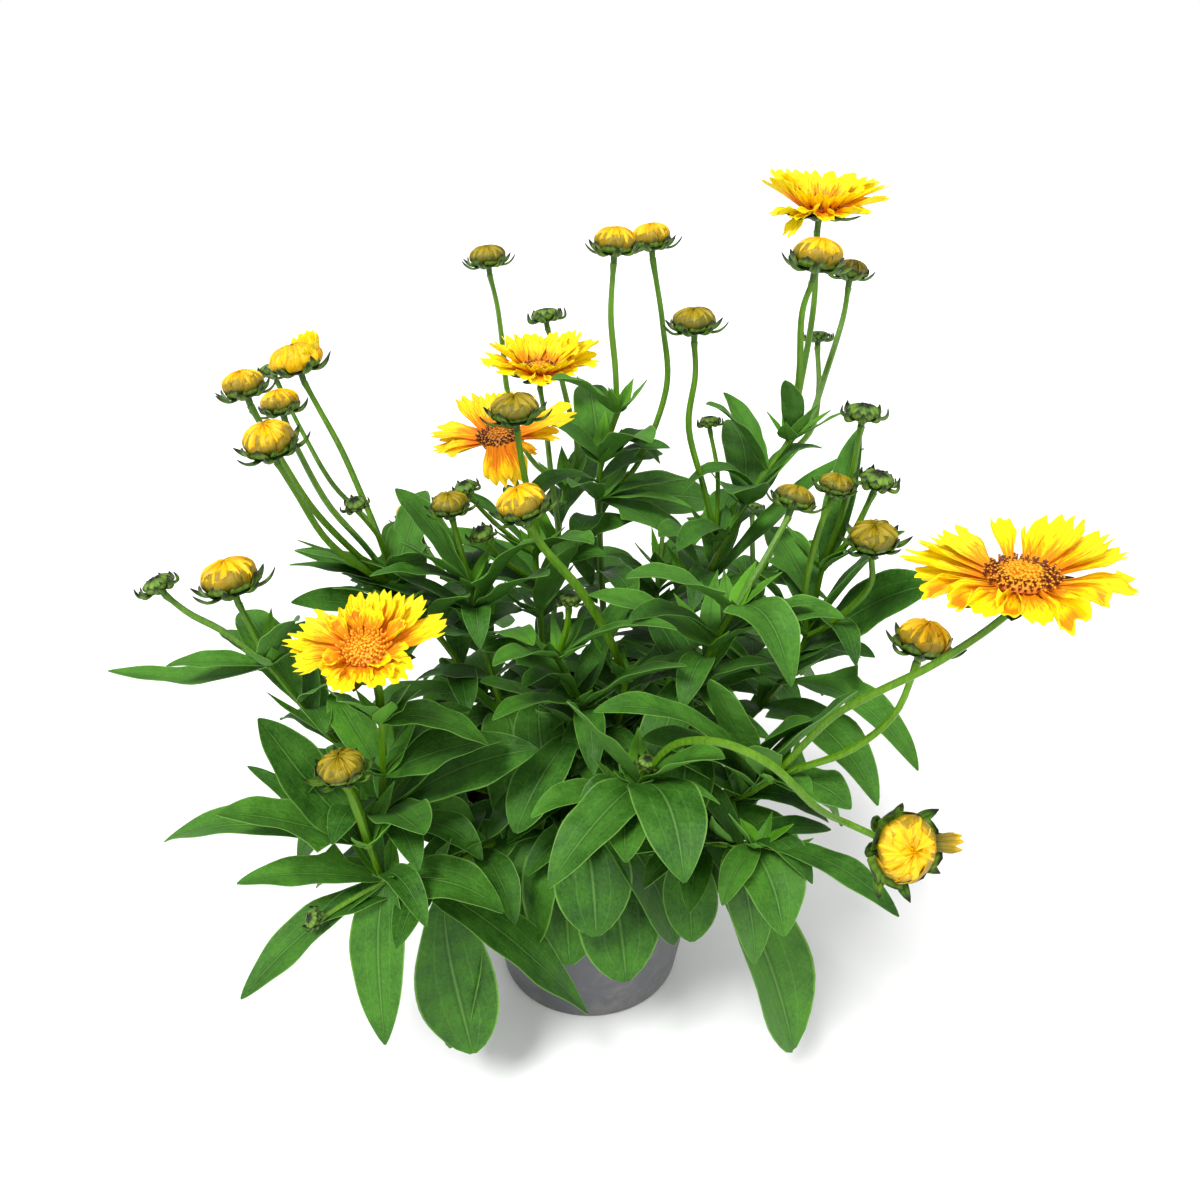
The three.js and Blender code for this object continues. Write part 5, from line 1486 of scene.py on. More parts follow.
@dataclass(frozen=True)
class BudPiece:
    """A closed or opening bud: a dome of overlapping skins, with a loose petal where it opens."""

    shoot: Shoot
    stalk: Stalk

    def build(self, materials: Materials) -> None:
        """Builds the bud in place of its node."""
        head, seat = self.stalk.head, Seat.of(self.shoot, self.stalk)
        opens = head.name == "opening"
        radius = (0.9 if opens else 0.91) * seat.bract
        height = (0.62 if opens else 0.88 + 0.14 * head.ripe) * seat.bract
        turn = 2 * np.pi * ripple(head.size, len(head.name))
        shape = Shape()
        shape.add(Scales.core(seat, 0.9 * radius, 0.9 * height), 0.7)
        for level, (count, low, high, scale, *folds, tint) in enumerate(OPENING if opens else SKINS):
            whorl = Scales(count, low, high, 1.4, scale, 3.4, *folds)
            grown = whorl.grow(seat, radius, height, turn + 0.63 * level)
            shape.add(grown, tint + 0.3 * ripples(count, level))
        if opens:
            flap = Petals(0.7, 0.2).grow(seat, (OPENING_FLAP,), seat.bract, 0.8 * seat.bract)
            shape.add(flap, 0.3)
        name = f"bud_{head.name}"
        finish = Finish.SKIN_RIPE if head.ripe else Finish.SKIN_OLIVE
        piece = shape.build(f"{name}_grown", [materials[finish]])
        dress(piece, name)


@dataclass(frozen=True)
class PotPiece:
    """A tapered nursery pot with a deep rim and four drain slots through its floor."""

    height: float = 115
    base: float = 46
    top: float = 62
    rim: float = 65
    rim_height: float = 17
    wall: float = 2
    floor: float = 3
    slot_from: float = 22
    slot_to: float = 38
    slot_width: float = 3.4
    middle: float = 0.5
    columns: int = 96

    def build(self, materials: Materials) -> None:
        """Builds the pot in place of its node."""
        shape = Shape()
        shape.add(self._turned())
        dress(shape.build("pot_moulded", [materials[Finish.POT]], crease=38), "pot")

    def _profile(self) -> Array:
        """Radii and heights from the middle of the base, up the outside and down the inside."""
        base, rim, high, foot = self.base, self.rim, self.height, self.height - self.rim_height
        under = [[r, 0] for r in (self.middle, 10, self.slot_from, self.slot_to, base - 4, base - 3.4)]
        corner = [[base - 1.6, 0.25], [base - 0.5, 1.0], [base, 2.2]]
        side = corner[-1] + np.linspace(0, 1, 14)[1:, None] * (self.top - base, foot - 2.2)
        lip = [[self.top + 1.2, foot + 0.1], [rim - 0.6, foot + 0.35], [rim, foot + 1.0], [rim, foot + 4],
               [rim - 0.25, foot + 4.6], [rim - 0.25, high - 3], [rim, high - 2.4], [rim, high - 1.0],
               [rim - 0.4, high - 0.25], [rim - 1.0, high], [rim - self.wall + 0.3, high],
               [rim - self.wall, high - 0.5], [self.top - self.wall, foot]]
        inner = (base - self.wall, self.slot_to, self.slot_from, 10, self.middle)
        return np.concatenate([under, corner, side, lip, [[r, self.floor] for r in inner]])

    def _turned(self) -> Surface:
        """The profile turned about Z, with the slots left out of base and floor and walled between.

        Every quadrant's first column runs along a slot's edge: it stands at the angle whose sine is
        half the slot's width over the radius, and the others share the rest evenly.
        """
        profile, n = self._profile(), self.columns
        radii, heights = profile[:, :1], profile[:, 1:]
        edge = np.arcsin(self.slot_width / 2 / np.clip(radii, self.slot_from, self.slot_to))
        spread = edge + np.linspace(0, 1, n // 4 - 1) * (np.pi / 2 - 2 * edge)
        quarter = np.concatenate([0 * edge, spread], axis=1)
        angle = np.concatenate([quarter + q * np.pi / 2 for q in range(4)], axis=1)
        rings = np.stack([radii * np.cos(angle), radii * np.sin(angle), heights + 0 * angle], axis=-1)
        flow = np.linspace([0.0, 0, 0], [1.0, 0, 0], len(radii))
        whole = closed_rings(rings, [[0, 0, 0], [0, 0, self.floor]], flow)
        (low_in, high_in), (low_out, high_out) = (
            np.flatnonzero(np.isclose(radii[:, 0], r)) for r in (self.slot_from, self.slot_to)
        )
        middles = n // 4 * np.arange(4)
        before, after = (middles - 1) % n, middles + 1
        ring, column = np.divmod(np.where(whole.faces < 0, -n, whole.faces), n)
        beside = np.isin(column, [before, middles, after]).all(axis=1)
        slot = [np.isin(ring, pair).all(axis=1) for pair in ((low_in, low_out), (high_in, high_out))]
        kept = whole.faces[~(beside & (slot[0] | slot[1]))]
        loop = ((0, before), (1, before), (1, middles), (1, after), (0, after), (0, middles))
        low = np.stack([(low_in, low_out)[out] * n + c for out, c in loop])
        high = np.stack([(high_in, high_out)[out] * n + c for out, c in loop])
        walls = np.stack([low, high, np.roll(high, -1, axis=0), np.roll(low, -1, axis=0)], axis=-1)
        return Surface(whole.points, np.concatenate([kept, walls.reshape(-1, 4)]), whole.flow)


@dataclass(frozen=True)
class SoilPiece:
    """The potting soil: a lumpy closed filling with crumbs on top."""

    top: float = 100
    low: float = 3.3
    wall_low: float = 42.8
    wall_high: float = 58.9
    shoulder: float = 97
    crumbs: int = 420

    def build(self, materials: Materials) -> None:
        """Builds the soil in place of its node."""
        shape = Shape()
        shape.add(self._body())
        shape.add(self._crumbs(), ripples(self.crumbs, 1))
        dress(shape.build("soil_crumbled", [materials[Finish.SOIL]], crease=180), "soil")

    def _surface(self, x: Array, y: Array) -> Array:
        """The height of the soil: its level plus three crossing waves of lessening length."""
        long_waves = self.top + 0.9 * np.sin(0.13 * x + 1.0) * np.cos(0.17 * y)
        waves = long_waves + 0.6 * np.sin(0.41 * x + 0.29 * y + 2.0)
        return waves + 0.35 * np.sin(0.9 * x - 0.7 * y) * np.sin(1.1 * y + 0.4 * x)

    def _body(self) -> Surface:
        """A closed filling whose rings widen to the shoulder and then cover the top to the middle."""
        angle = ring_of(120)
        sides = np.array([[self.wall_low, self.low], [self.wall_low + 5, 30], [self.wall_high - 4, 75],
                          [self.wall_high, self.shoulder]])
        radii = np.concatenate([sides[:, 0], np.linspace(self.wall_high - 1.5, 1.0, 30)])[:, None]
        x, y = radii * np.cos(angle), radii * np.sin(angle)
        z = self._surface(x, y)
        z[: len(sides)] = sides[:, 1:]
        ends = [[0, 0, self.low], [0, 0, self._surface(0, 0)]]
        return closed_rings(np.stack([x, y, z], axis=-1), ends, np.zeros((len(radii), 3)))

    def _crumbs(self) -> Surface:
        """Crumbs on the soil: squashed six-sided grains in a golden-angle spiral."""
        k = np.arange(self.crumbs)
        radius = (self.wall_high - 3) * np.sqrt((k + 0.5) / self.crumbs)
        turn = k * GOLDEN_ANGLE
        x, y = radius * np.cos(turn), radius * np.sin(turn)
        size = 0.6 + 1.1 * ripple_of(ripples(self.crumbs), 1) ** 2
        middle = np.stack([x, y, self._surface(x, y) + 0.2 * size], axis=-1)
        size = size[:, None, None]
        angle = ring_of(6)
        levels, widths = np.array([[-0.5, 0.1, 0.6], [0.7, 1.0, 0.6]])[..., None]
        chance = ripple_of(ripples(self.crumbs)[:, None] + 0.17 * np.arange(6), 2)
        reach = size * widths * (0.7 + 0.6 * chance[:, None])
        ring = np.stack([reach * np.cos(angle), reach * np.sin(angle), size * levels + 0 * reach], axis=-1)
        ends = middle[:, None] + np.array([[0, 0, -0.7], [0, 0, 0.8]]) * size
        return closed_copies(middle[:, None, None] + ring, ends, np.zeros((self.crumbs, 20, 3)))


# ---------------------------------------------------------------- finishes

Value = Socket | float | tuple


def linear(colour: Colour) -> tuple[float, float, float, float]:
    """A colour as the eye names it (0 to 255) as the light it reflects, with full alpha."""
    share = np.array(colour) / 255
    light = np.where(share > 0.04045, ((share + 0.055) / 1.055) ** 2.4, share / 12.92)
    return (float(light[0]), float(light[1]), float(light[2]), 1.0)


class Graph:
    """A node tree that is written as expressions: each call adds one node and returns its output."""

    def __init__(self, tree: Tree) -> None:
        """Starts on an empty tree."""
        self.tree = tree
        self.tree.nodes.clear()

    def node(self, kind: str, **fields: object) -> bpy.types.Node:
        """Adds a shader node of a kind and sets its fields."""
        node = self.tree.nodes.new(f"ShaderNode{kind}")
        for name, value in fields.items():
            setattr(node, name, value)
        return node

    def put(self, socket: Socket, value: Value) -> None:
        """Links an output to a socket, or sets the socket's own value."""
        if isinstance(value, Socket):
            self.tree.links.new(value, socket)
        else:
            socket.default_value = value

    def add(self, kind: str, *values: Value, **fields: object) -> Socket:
        """Adds a node, sets its fields, feeds its first inputs and returns its first output."""
        node = self.node(kind, **fields)
        for socket, value in zip(node.inputs, values):
            self.put(socket, value)
        return node.outputs[0]

    def math(self, operation: str, *values: Value) -> Socket:
        """A Math node."""
        return self.add("Math", *values, operation=operation)

    def times(self, first: Value, second: Value) -> Socket:
        """The product of two values."""
        return self.math("MULTIPLY", first, second)

    def line(self, value: Value, slope: Value, start: Value) -> Socket:
        """A value times a slope, plus a start."""
        return self.math("MULTIPLY_ADD", value, slope, start)

    def span(self, value: Value, low: Value, high: Value, start: Value = 0.0, end: Value = 1.0) -> Socket:
        """A smooth step of a value from start at low to end at high."""
        return self.add("MapRange", value, low, high, start, end, interpolation_type="SMOOTHSTEP")

    def mix(self, share: Value, first: Socket | Colour, second: Socket | Colour) -> Socket:
        """A colour between two, each an output, or red, green and blue from 0 to 255."""
        node = self.node("Mix", data_type="RGBA")
        self.put(node.inputs[0], share)
        for socket, colour in ((node.inputs[6], first), (node.inputs[7], second)):
            self.put(socket, linear(colour) if isinstance(colour, tuple) else colour)
        return node.outputs[2]

    def noise(self, place: Socket, scale: Value, detail: float = 2.0, rough: float = 0.5) -> Socket:
        """A cloudy value between 0 and 1."""
        fourth_coordinate = 0.0
        return self.add("TexNoise", place, fourth_coordinate, scale, detail, rough)

    def place(self) -> Socket:
        """The place on the piece, in metres."""
        return self.node("TexCoord").outputs["Object"]

    def attribute(self, name: str, output: str) -> Socket:
        """An attribute of the mesh."""
        return self.node("Attribute", attribute_type="GEOMETRY", attribute_name=name).outputs[output]

    def split(self, vector: Socket) -> tuple[Socket, ...]:
        """The three values of a vector."""
        node = self.node("SeparateXYZ")
        self.put(node.inputs[0], vector)
        return tuple(node.outputs)

    def flow(self) -> tuple[Socket, ...]:
        """How far along, how far across and on which face of its blade a point lies."""
        return self.split(self.attribute("flow", "Vector"))

    def tint(self) -> Socket:
        """The shade of a point's blade, from 0 to 1."""
        return self.attribute("tint", "Fac")

    def vector(self, x: Value, y: Value, z: Value) -> Socket:
        """A vector from three values."""
        return self.add("CombineXYZ", x, y, z)


def new_group(name: str, inputs: dict[str, float | None], *outputs: str) -> tuple[Graph, list, list]:
    """Starts a shared effect.

    Args:
        name: the group's name.
        inputs: its inputs with their usual values; None marks a vector.
        outputs: its outputs, all single values.

    Returns:
        The graph of the group, the values that come into it and the sockets that its results go to.
    """
    tree = bpy.data.node_groups.new(name, "ShaderNodeTree")
    for label, usual in inputs.items():
        kind = "NodeSocketVector" if usual is None else "NodeSocketFloat"
        socket = tree.interface.new_socket(name=label, in_out="INPUT", socket_type=kind)
        if usual is not None:
            socket.default_value = usual
    for label in outputs:
        tree.interface.new_socket(name=label, in_out="OUTPUT", socket_type="NodeSocketFloat")
    graph = Graph(tree)
    source, sink = tree.nodes.new("NodeGroupInput"), tree.nodes.new("NodeGroupOutput")
    return graph, source.outputs[: len(inputs)], sink.inputs[: len(outputs)]


@dataclass(frozen=True)
class Effects:
    """The shader groups that several finishes share."""

    mottle: Tree
    fibres: Tree
    veins: Tree

    @classmethod
    def build(cls) -> "Effects":
        """Builds each group once."""
        return cls(cls._mottle(), cls._fibres(), cls._veins())

    @staticmethod
    def _mottle() -> Tree:
        """Soft blotches with finer ones in them, spread round a half."""
        inputs = {"Place": None, "Size": 60.0, "Fine": 6.0, "Strength": 1.0}
        g, (place, size, fine, strength), (value,) = new_group("mottle", inputs, "Value")
        broad = g.noise(place, size)
        small = g.noise(place, g.times(size, fine), 3.0, 0.6)
        both = g.math("ADD", g.times(broad, 0.65), g.times(small, 0.35))
        g.put(value, g.line(g.math("SUBTRACT", both, 0.5), strength, 0.5))
        return g.tree

    @staticmethod
    def _fibres() -> Tree:
        """Fine lines that run along a blade and waver a little, and broader streaks."""
        inputs = {"Along": 0.0, "Across": 0.0, "Count": 12.0, "Seed": 0.0}
        g, (along, across, count, seed), (lines, streaks) = new_group("fibres", inputs, "Lines", "Streaks")
        beside = g.times(across, count)
        wobble = g.noise(g.vector(g.times(along, 1.6), beside, seed), 1.0, 3.0, 0.6)
        g.put(lines, g.line(g.math("SINE", g.line(wobble, 5.0, beside)), 0.5, 0.5))
        wide = g.vector(g.times(along, 2.2), g.times(across, 4.5), seed)
        g.put(streaks, g.noise(wide, 1.3, 3.0, 0.65))
        return g.tree

    @staticmethod
    def _veins() -> Tree:
        """A midrib, two side veins and slanting small ones, and the pale rim of a leaf."""
        inputs = {"Along": 0.0, "Across": 0.0, "Seed": 0.0}
        g, (along, across, seed), ends = new_group("leaf_veins", inputs, "Midrib", "Veins", "Rim")
        off = g.math("ABSOLUTE", across)
        g.put(ends[0], g.span(off, 0.01, 0.055, 1.0, 0.0))
        waver = g.noise(g.vector(g.times(along, 3.0), seed, 0.0), 2.0, 1.0)
        beside = g.math("ABSOLUTE", g.math("SUBTRACT", off, g.line(waver, 0.12, 0.38)))
        pair = g.span(beside, 0.0, 0.035, 1.0, 0.0)
        slant = g.times(g.line(off, -0.55, along), 34.0)
        fine = g.math("ABSOLUTE", g.math("SINE", g.line(waver, 2.0, slant)))
        small = g.times(g.span(fine, 0.0, 0.3, 1.0, 0.0), 0.45)
        g.put(ends[1], g.math("MAXIMUM", pair, small))
        g.put(ends[2], g.span(off, 0.93, 0.98))
        return g.tree


@dataclass(frozen=True)
class Sheen:
    """How a finish takes light: roughness of its smooth and rough spots, and light let into it."""

    smooth: float
    rough: float
    soft: float = 0.0
    depth: float = 0.001
    gloss: float = 0.5


class Skin(Graph):
    """A material with one Principled shader, whose colour, roughness and relief are put in by nodes."""

    def __init__(self, finish: Finish, sheen: Sheen, effects: Effects) -> None:
        """Starts the material of a finish."""
        self.material = bpy.data.materials.new(finish.value)
        self.material.use_nodes = True
        super().__init__(self.material.node_tree)
        self.sheen, self.effects = sheen, effects
        self.shader = self.node("BsdfPrincipled")
        values = {"Specular IOR Level": sheen.gloss}
        if sheen.soft:
            values |= {"Subsurface Weight": sheen.soft, "Subsurface Scale": sheen.depth,
                       "Subsurface Radius": (1.0, 1.0, 0.4)}
        for name, value in values.items():
            self.shader.inputs[name].default_value = value
        self.put(self.node("OutputMaterial").inputs[0], self.shader.outputs[0])

    def use(self, group: Tree, *values: Value) -> list[Socket]:
        """Places a shared effect with its own values and returns its results."""
        node = self.node("Group", node_tree=group)
        for socket, value in zip(node.inputs, values):
            self.put(socket, value)
        return list(node.outputs)

    def mottle(self, size: float, fine: float, strength: float) -> Socket:
        """Blotches by the metre, finer ones so many times as small, and how far they part."""
        return self.use(self.effects.mottle, self.place(), size, fine, strength)[0]

    def finish(self, colour: Socket, wear: Value, relief: Value, height: float) -> Material:
        """Puts in the colour, the roughness by a value from 0 to 1, and a relief of a height in metres."""
        self.put(self.shader.inputs["Base Color"], colour)
        rough = self.span(wear, 0.0, 1.0, self.sheen.smooth, self.sheen.rough)
        self.put(self.shader.inputs["Roughness"], rough)
        bump = self.node("Bump")
        bump.inputs["Strength"].default_value = 1.0
        bump.inputs["Distance"].default_value = height
        self.put(bump.inputs["Height"], relief)
        self.put(self.shader.inputs["Normal"], bump.outputs[0])
        return self.material


@dataclass(frozen=True)
class LeafFinish:
    """A firm leaf: darker between its veins, with painted shade in the groove along its midrib, a pale rim,
    and paler and duller below.
    """

    name: Finish = Finish.LEAF
    # the darkest green, which is also the colour of the painted shade in the groove along the midrib
    dark: Colour = (17, 60, 10)
    light: Colour = (76, 132, 38)
    young: Colour = (88, 152, 14)
    vein: Colour = (126, 172, 78)
    below: Colour = (82, 132, 48)
    sheen: Sheen = Sheen(0.46, 0.7, 0.1, 0.001, 0.2)

    def build(self, effects: Effects) -> Material:
        """Builds the material."""
        g = Skin(self.name, self.sheen, effects)
        along, across, side = g.flow()
        tint = g.tint()
        midrib, veins, rim = g.use(effects.veins, along, across, tint)
        mottle = g.mottle(85.0, 9.0, 2.6)
        grain = g.line(g.noise(g.place(), 800.0, 4.0, 0.7), 0.7, -0.35)
        shade = g.math("ADD", g.line(tint, 0.7, grain), g.times(mottle, 0.56))
        old = g.mix(shade, self.dark, self.light)
        fresh = g.times(g.span(g.line(mottle, 0.16, tint), 0.8, 1.12), 0.85)
        blade = g.mix(fresh, old, self.young)
        lines = g.math("MAXIMUM", g.times(midrib, 0.3), g.times(veins, 0.13))
        # painted shade: the blade is darkened towards the dark green in the fold's groove beside the
        # midrib, where shade falls
        crease = g.times(g.span(g.math("ABSOLUTE", across), 0.05, 0.16, 1.0, 0.0), 0.4)
        drawn = g.mix(lines, g.mix(crease, blade, self.dark), self.vein)
        rimmed = g.mix(g.times(rim, 0.5), drawn, self.vein)
        colour = g.mix(side, rimmed, g.mix(0.55, rimmed, self.below))
        fine = g.noise(g.place(), 1100.0, 3.0, 0.6)
        waves = g.line(fine, 0.4, g.times(g.noise(g.place(), 150.0), 2.4))
        wear = g.math("ADD", mottle, g.times(side, 0.4))
        return g.finish(colour, wear, g.line(lines, -0.9, waves), 0.0004)


@dataclass(frozen=True)
class StemFinish:
    """A ribbed stem: bright green with yellowish ribs."""

    name: Finish = Finish.STEM
    groove: Colour = (26, 78, 0)
    rib: Colour = (104, 150, 4)
    sheen: Sheen = Sheen(0.38, 0.55, 0.1, 0.0008, 0.35)

    def build(self, effects: Effects) -> Material:
        """Builds the material."""
        g = Skin(self.name, self.sheen, effects)
        x, y, z = g.split(g.place())
        streak = g.noise(g.vector(x, y, g.times(z, 0.06)), 900.0)
        share = g.math("ADD", g.times(streak, 0.75), g.times(g.tint(), 0.25))
        share = g.times(share, g.math("ADD", g.mottle(40.0, 5.0, 1.4), 0.45))
        return g.finish(g.mix(share, self.groove, self.rib), streak, streak, 0.0003)


@dataclass(frozen=True)
class BractFinish:
    """A bract: dark green with fine lines and a blackish tip."""

    name: Finish = Finish.BRACT
    green: Colour = (30, 76, 14)
    light: Colour = (118, 152, 44)
    tip: Colour = (18, 24, 12)
    sheen: Sheen = Sheen(0.4, 0.62, 0.0, 0.001, 0.35)

    def build(self, effects: Effects) -> Material:
        """Builds the material."""
        g = Skin(self.name, self.sheen, effects)
        along, across, _ = g.flow()
        tint = g.tint()
        lines, _ = g.use(effects.fibres, along, across, 9.0, tint)
        mottle = g.mottle(160.0, 5.0, 1.6)
        shade = g.line(lines, 0.3, g.times(tint, 0.5))
        green = g.mix(g.math("ADD", shade, g.math("SUBTRACT", mottle, 0.5)), self.green, self.light)
        dark = g.times(g.span(g.line(mottle, 0.3, along), 0.8, 1.05), 0.9)
        return g.finish(g.mix(dark, green, self.tip), mottle, lines, 0.00015)


@dataclass(frozen=True)
class PetalFinish:
    """A petal: clear yellow, with an orange base whose streaks run out along it, fine lines, and painted
    shade in the hollow of a rolled petal.
    """

    name: Finish = Finish.PETAL
    yellow: Colour = (255, 230, 2)
    deep: Colour = (252, 204, 2)
    orange: Colour = (240, 128, 4)
    # the dark orange of the painted shade in the hollow of a rolled petal
    inside: Colour = (232, 104, 6)
    reach: float = 0.4
    sheen: Sheen = Sheen(0.42, 0.6, 0.25, 0.0015, 0.25)

    def build(self, effects: Effects) -> Material:
        """Builds the material."""
        g = Skin(self.name, self.sheen, effects)
        along, across, side = g.flow()
        tint = g.tint()
        lines, streaks = g.use(effects.fibres, along, across, 26.0, g.times(tint, 40.0))
        worn = g.math("SUBTRACT", g.mottle(90.0, 6.0, 1.8), 0.3)
        body = g.mix(g.line(lines, 0.25, worn), self.yellow, self.deep)
        way = g.line(streaks, -1.7, g.math("ADD", along, 0.74))
        base = g.span(g.line(g.math("FRACT", tint), -0.5, way), 0.0, self.reach, 1.0, 0.0)
        drawn = g.mix(g.times(base, 0.9), body, self.orange)
        # painted shade: the inner face of a rolled petal is darkened to dark orange in the middle of its
        # hollow, towards its mouth
        rolled = g.times(g.span(tint, 0.95, 1.0), g.math("SUBTRACT", 1.0, side))
        middle = g.span(g.math("ABSOLUTE", across), 0.35, 0.8, 1.0, 0.0)
        tube_shade_along = g.times(g.span(along, 0.48, 0.72), g.span(along, 0.86, 0.97, 1.0, 0.0))
        share = g.times(g.times(rolled, tube_shade_along), g.times(middle, 0.85))
        return g.finish(g.mix(share, drawn, self.inside), lines, lines, 0.00018)


@dataclass(frozen=True)
class FloretFinish:
    """Disc florets: orange, the outer ones with dark red-brown tubes and bright tips."""

    name: Finish = Finish.FLORET
    low: Colour = (198, 100, 4)
    tip: Colour = (248, 170, 12)
    dark: Colour = (92, 16, 4)
    share: float = 0.94
    sheen: Sheen = Sheen(0.5, 0.75, 0.1, 0.0008)

    def build(self, effects: Effects) -> Material:
        """Builds the material."""
        g = Skin(self.name, self.sheen, effects)
        up, out, chance = g.flow()
        mottle = g.mottle(300.0, 5.0, 1.8)
        orange = g.mix(g.span(g.line(mottle, 0.4, up), 0.3, 1.1), self.low, self.tip)
        ring = g.span(out, 0.45, 0.66)
        band = g.times(g.span(up, 0.3, 0.5), g.span(up, 0.84, 0.96, 1.0, 0.15))
        some = g.span(g.math("ADD", chance, g.times(ring, 0.5)), 0.56, 0.7)
        dark = g.times(g.times(g.times(band, some), ring), g.tint())
        return g.finish(g.mix(g.times(dark, self.share), orange, self.dark), mottle, mottle, 0.0002)


@dataclass(frozen=True)
class BudFinish:
    """A bud's papery skins: yellow or olive, greener to their foot, with fine brown veins."""

    name: Finish = Finish.SKIN_RIPE
    crown: Colour = (246, 192, 0)
    skin: Colour = (146, 124, 6)
    foot: Colour = (58, 68, 6)
    vein: Colour = (150, 72, 4)
    veins: float = 0.5
    sheen: Sheen = Sheen(0.34, 0.56, 0.1, 0.001, 0.32)

    def build(self, effects: Effects) -> Material:
        """Builds the material."""
        g = Skin(self.name, self.sheen, effects)
        along, across, _ = g.flow()
        tint = g.tint()
        lines, streaks = g.use(effects.fibres, along, across, 13.0, g.times(tint, 30.0))
        mottle = g.mottle(120.0, 5.0, 2.0)
        rise = g.math("ADD", along, g.times(g.math("SUBTRACT", mottle, 0.5), 0.6))
        low = g.mix(g.span(rise, 0.1, 0.75), self.foot, self.skin)
        bright = g.line(tint, 0.8, g.line(streaks, 0.35, g.times(rise, 0.7)))
        body = g.mix(g.span(bright, 0.86, 1.2), low, self.crown)
        high = g.span(g.line(tint, 0.3, along), 0.5, 0.9, 0.15, 1.0)
        drawn = g.times(g.times(g.span(lines, 0.0, 0.4, 1.0, 0.0), g.span(streaks, 0.36, 0.6)), high)
        edge = g.times(g.span(g.math("ABSOLUTE", across), 0.86, 1.0), 0.5)
        colour = g.mix(g.times(g.math("MAXIMUM", drawn, edge), self.veins), body, self.vein)
        return g.finish(colour, mottle, g.times(lines, -1.0), 0.00018)


@dataclass(frozen=True)
class PotFinish:
    """Moulded grey plastic with a fine grain, flow marks and rubbed, dusty patches."""

    name: Finish = Finish.POT
    plain: Colour = (92, 93, 97)
    dark: Colour = (66, 67, 71)
    dust: Colour = (122, 119, 114)
    sheen: Sheen = Sheen(0.36, 0.62)

    def build(self, effects: Effects) -> Material:
        """Builds the material."""
        g = Skin(self.name, self.sheen, effects)
        place = g.place()
        mottle = g.mottle(22.0, 9.0, 2.2)
        height = g.split(place)[2]
        low = g.span(height, 0.0, 0.02, 1.0, 0.0)
        dusty = g.times(g.span(g.line(low, 0.25, mottle), 0.55, 0.95), 0.5)
        colour = g.mix(dusty, g.mix(mottle, self.dark, self.plain), self.dust)
        rings = g.math("SINE", g.times(height, 5200.0))
        return g.finish(colour, mottle, g.line(rings, 0.12, g.noise(place, 2600.0)), 0.00006)


@dataclass(frozen=True)
class SoilFinish:
    """Dark, crumbly potting soil with brown fibres and a few pale grains."""

    name: Finish = Finish.SOIL
    dark: Colour = (34, 25, 18)
    brown: Colour = (84, 62, 42)
    pale: Colour = (150, 138, 118)
    sheen: Sheen = Sheen(0.75, 0.98)

    def build(self, effects: Effects) -> Material:
        """Builds the material."""
        g = Skin(self.name, self.sheen, effects)
        mottle = g.mottle(180.0, 6.0, 2.4)
        crumbs = g.node("TexVoronoi", feature="F1")
        g.put(crumbs.inputs["Vector"], g.place())
        crumbs.inputs["Scale"].default_value = 420.0
        grain = g.times(g.span(g.tint(), 0.93, 0.96), 0.8)
        colour = g.mix(grain, g.mix(mottle, self.dark, self.brown), self.pale)
        relief = g.math("SUBTRACT", mottle, crumbs.outputs["Distance"])
        return g.finish(colour, mottle, relief, 0.0012)


@dataclass(frozen=True)
class FloorFinish:
    """A plain, pale, matt floor."""

    name: Finish = Finish.FLOOR
    pale: Colour = (248, 248, 248)
    shade: Colour = (244, 244, 244)
    sheen: Sheen = Sheen(0.85, 0.95)

    def build(self, effects: Effects) -> Material:
        """Builds the material."""
        g = Skin(self.name, self.sheen, effects)
        mottle = g.mottle(3.0, 30.0, 1.0)
        return g.finish(g.mix(mottle, self.pale, self.shade), mottle, mottle, 0.00002)


def all_finishes(effects: Effects) -> Materials:
    """Every material by its finish."""
    faded = PetalFinish(Finish.PETAL_OLD, (255, 210, 10), (250, 182, 8), (232, 116, 8), reach=0.38)
    spent = FloretFinish(Finish.FLORET_OLD, (120, 58, 10), (196, 120, 22), (64, 22, 10), 0.95)
    olive = BudFinish(
        Finish.SKIN_OLIVE, (156, 136, 8), (104, 99, 12), (44, 60, 8), (84, 50, 6), veins=0.45
    )
    finishes = (
        LeafFinish(), StemFinish(), BractFinish(), PetalFinish(), faded, FloretFinish(), spent,
        BudFinish(), olive, PotFinish(), SoilFinish(), FloorFinish(),
    )
    return {finish.name: finish.build(effects) for finish in finishes}


# ---------------------------------------------------------------- the studio


@dataclass(frozen=True)
class Lamp:
    """A far, broad light: where it stands, the point it faces (m), its spread (degrees), its power."""

    name: str
    place: Point
    aim: Point
    spread: float
    power: float

    def build(self) -> None:
        """Adds the light."""
        data = bpy.data.lights.new(self.name, "SUN")
        data.angle, data.energy = float(np.radians(self.spread)), self.power
        lamp = linked(self.name, data)
        lamp.location = self.place
        way = Vector(self.aim) - Vector(self.place)
        lamp.rotation_euler = way.to_track_quat("-Z", "Y").to_euler()


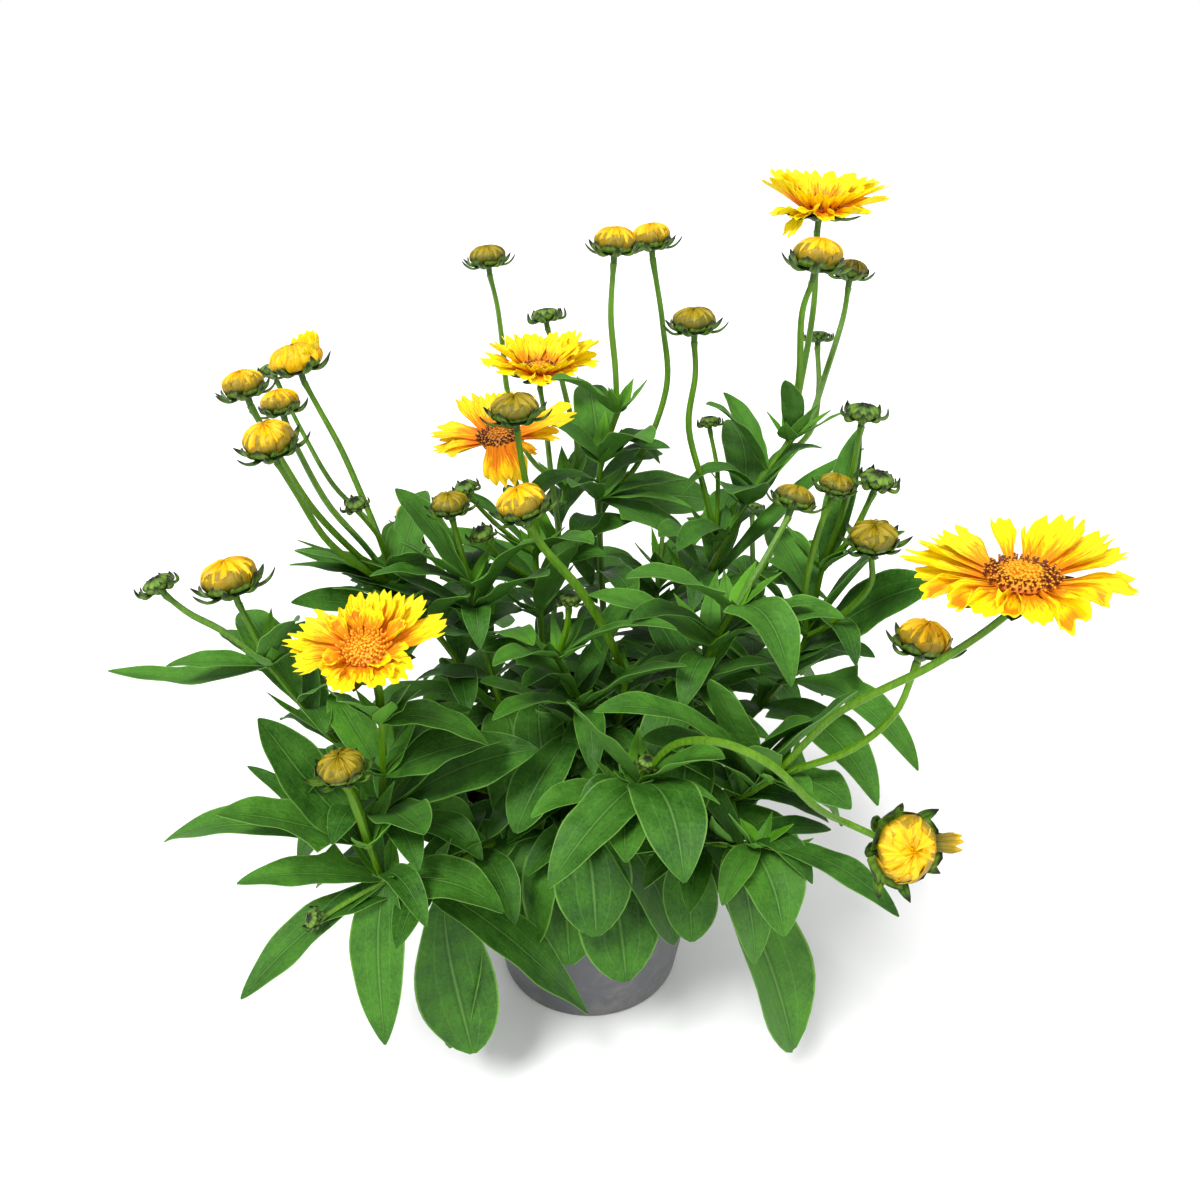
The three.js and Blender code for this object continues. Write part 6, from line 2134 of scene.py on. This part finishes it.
@dataclass(frozen=True)
class Studio:
    """The floor, the lights and the camera round the plant."""

    floor_reach: float = 6000.0
    camera_place: Point = (0.0054, -0.421, 0.427)
    camera_pitch: float = 27.0
    lens: float = 31.5
    lamps: tuple[Lamp, ...] = (
        Lamp("key_light", (-0.5, -0.85, 1.7), (0, 0, 0.18), 18.0, 3.3),
        Lamp("fill_light", (0.9, -1.1, 0.8), (0, 0, 0.18), 60.0, 0.9),
    )
    sky: float = 0.66

    def build(self, materials: Materials) -> None:
        """Builds the floor, the sky, the lights and the camera."""
        self._floor(materials)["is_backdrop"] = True
        self._sky()
        for lamp in self.lamps:
            lamp.build()
        self._camera()
        bpy.context.scene.view_settings.view_transform = "Standard"

    def _floor(self, materials: Materials) -> Thing:
        """A wide flat floor whose top is at the height of the pot's base."""
        side = np.linspace(-self.floor_reach, self.floor_reach, 9)
        x, y = np.meshgrid(side, side, indexing="ij")
        sheet = np.stack([x, y, 0 * x], axis=-1)[None]
        shape = Shape()
        shape.add(shells(sheet, UP, 0.0, 20.0, side * 0, side * 0))
        return shape.build("studio_floor", [materials[Finish.FLOOR]], crease=30)

    def _sky(self) -> None:
        """An even white light from all around, which looks a little brighter than it shines."""
        world = bpy.data.worlds.new("studio")
        world.use_nodes = True
        g = Graph(world.node_tree)
        white = (1.0, 1.0, 1.0, 1.0)
        seen = g.add("Background", white, 1.0)
        shone = g.add("Background", white, self.sky)
        looked_at = g.node("LightPath").outputs["Is Camera Ray"]
        g.put(g.node("OutputWorld").inputs[0], g.add("MixShader", looked_at, shone, seen))
        bpy.context.scene.world = world

    def _camera(self) -> None:
        """A camera in front of the plant that looks down on it a little."""
        data = bpy.data.cameras.new("camera")
        data.lens, data.sensor_width = self.lens, 36.0
        data.clip_start, data.clip_end = 0.01, 50.0
        camera = linked("camera", data)
        camera.location = self.camera_place
        camera.rotation_euler = (np.radians(90 - self.camera_pitch), 0.0, 0.0)
        bpy.context.scene.camera = camera


# ---------------------------------------------------------------- everything in order


def box_lists() -> list[list[float]]:
    """The whole object's lowest and highest corners as plain lists."""
    low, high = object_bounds()
    return [[float(v) for v in low], [float(v) for v in high]]


def main() -> None:
    """Loads the frame and builds the pot, the soil, the shoots, their heads and the studio."""
    logging.basicConfig(level=logging.INFO, format="%(name)s: %(message)s")
    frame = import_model()
    cad_box = box_lists()
    low, high = (np.array(corner) / MM for corner in cad_box)
    materials = all_finishes(Effects.build())
    PotPiece().build(materials)
    SoilPiece().build(materials)
    for index, shoot in enumerate(SHOOTS):
        node = frame["nodes"][shoot.name].data
        tips = np.empty(len(node.vertices) * 3, np.float32)
        node.vertices.foreach_get("co", tips)
        tips = tips.reshape(-1, 3).astype(float) / MM
        extra = MORE_LEAVES.get(shoot.name, ())
        ShootPiece(shoot, index, tips, low, high, extra=extra).build(materials)
        for stalk in shoot.stalks:
            if stalk.head.kind is BUD:
                BudPiece(shoot, stalk).build(materials)
            elif stalk.head.kind is not GREEN:
                BloomPiece(shoot, stalk).build(materials)
    Studio().build(materials)
    bpy.context.view_layer.update()


if __name__ == "__main__":
    main()
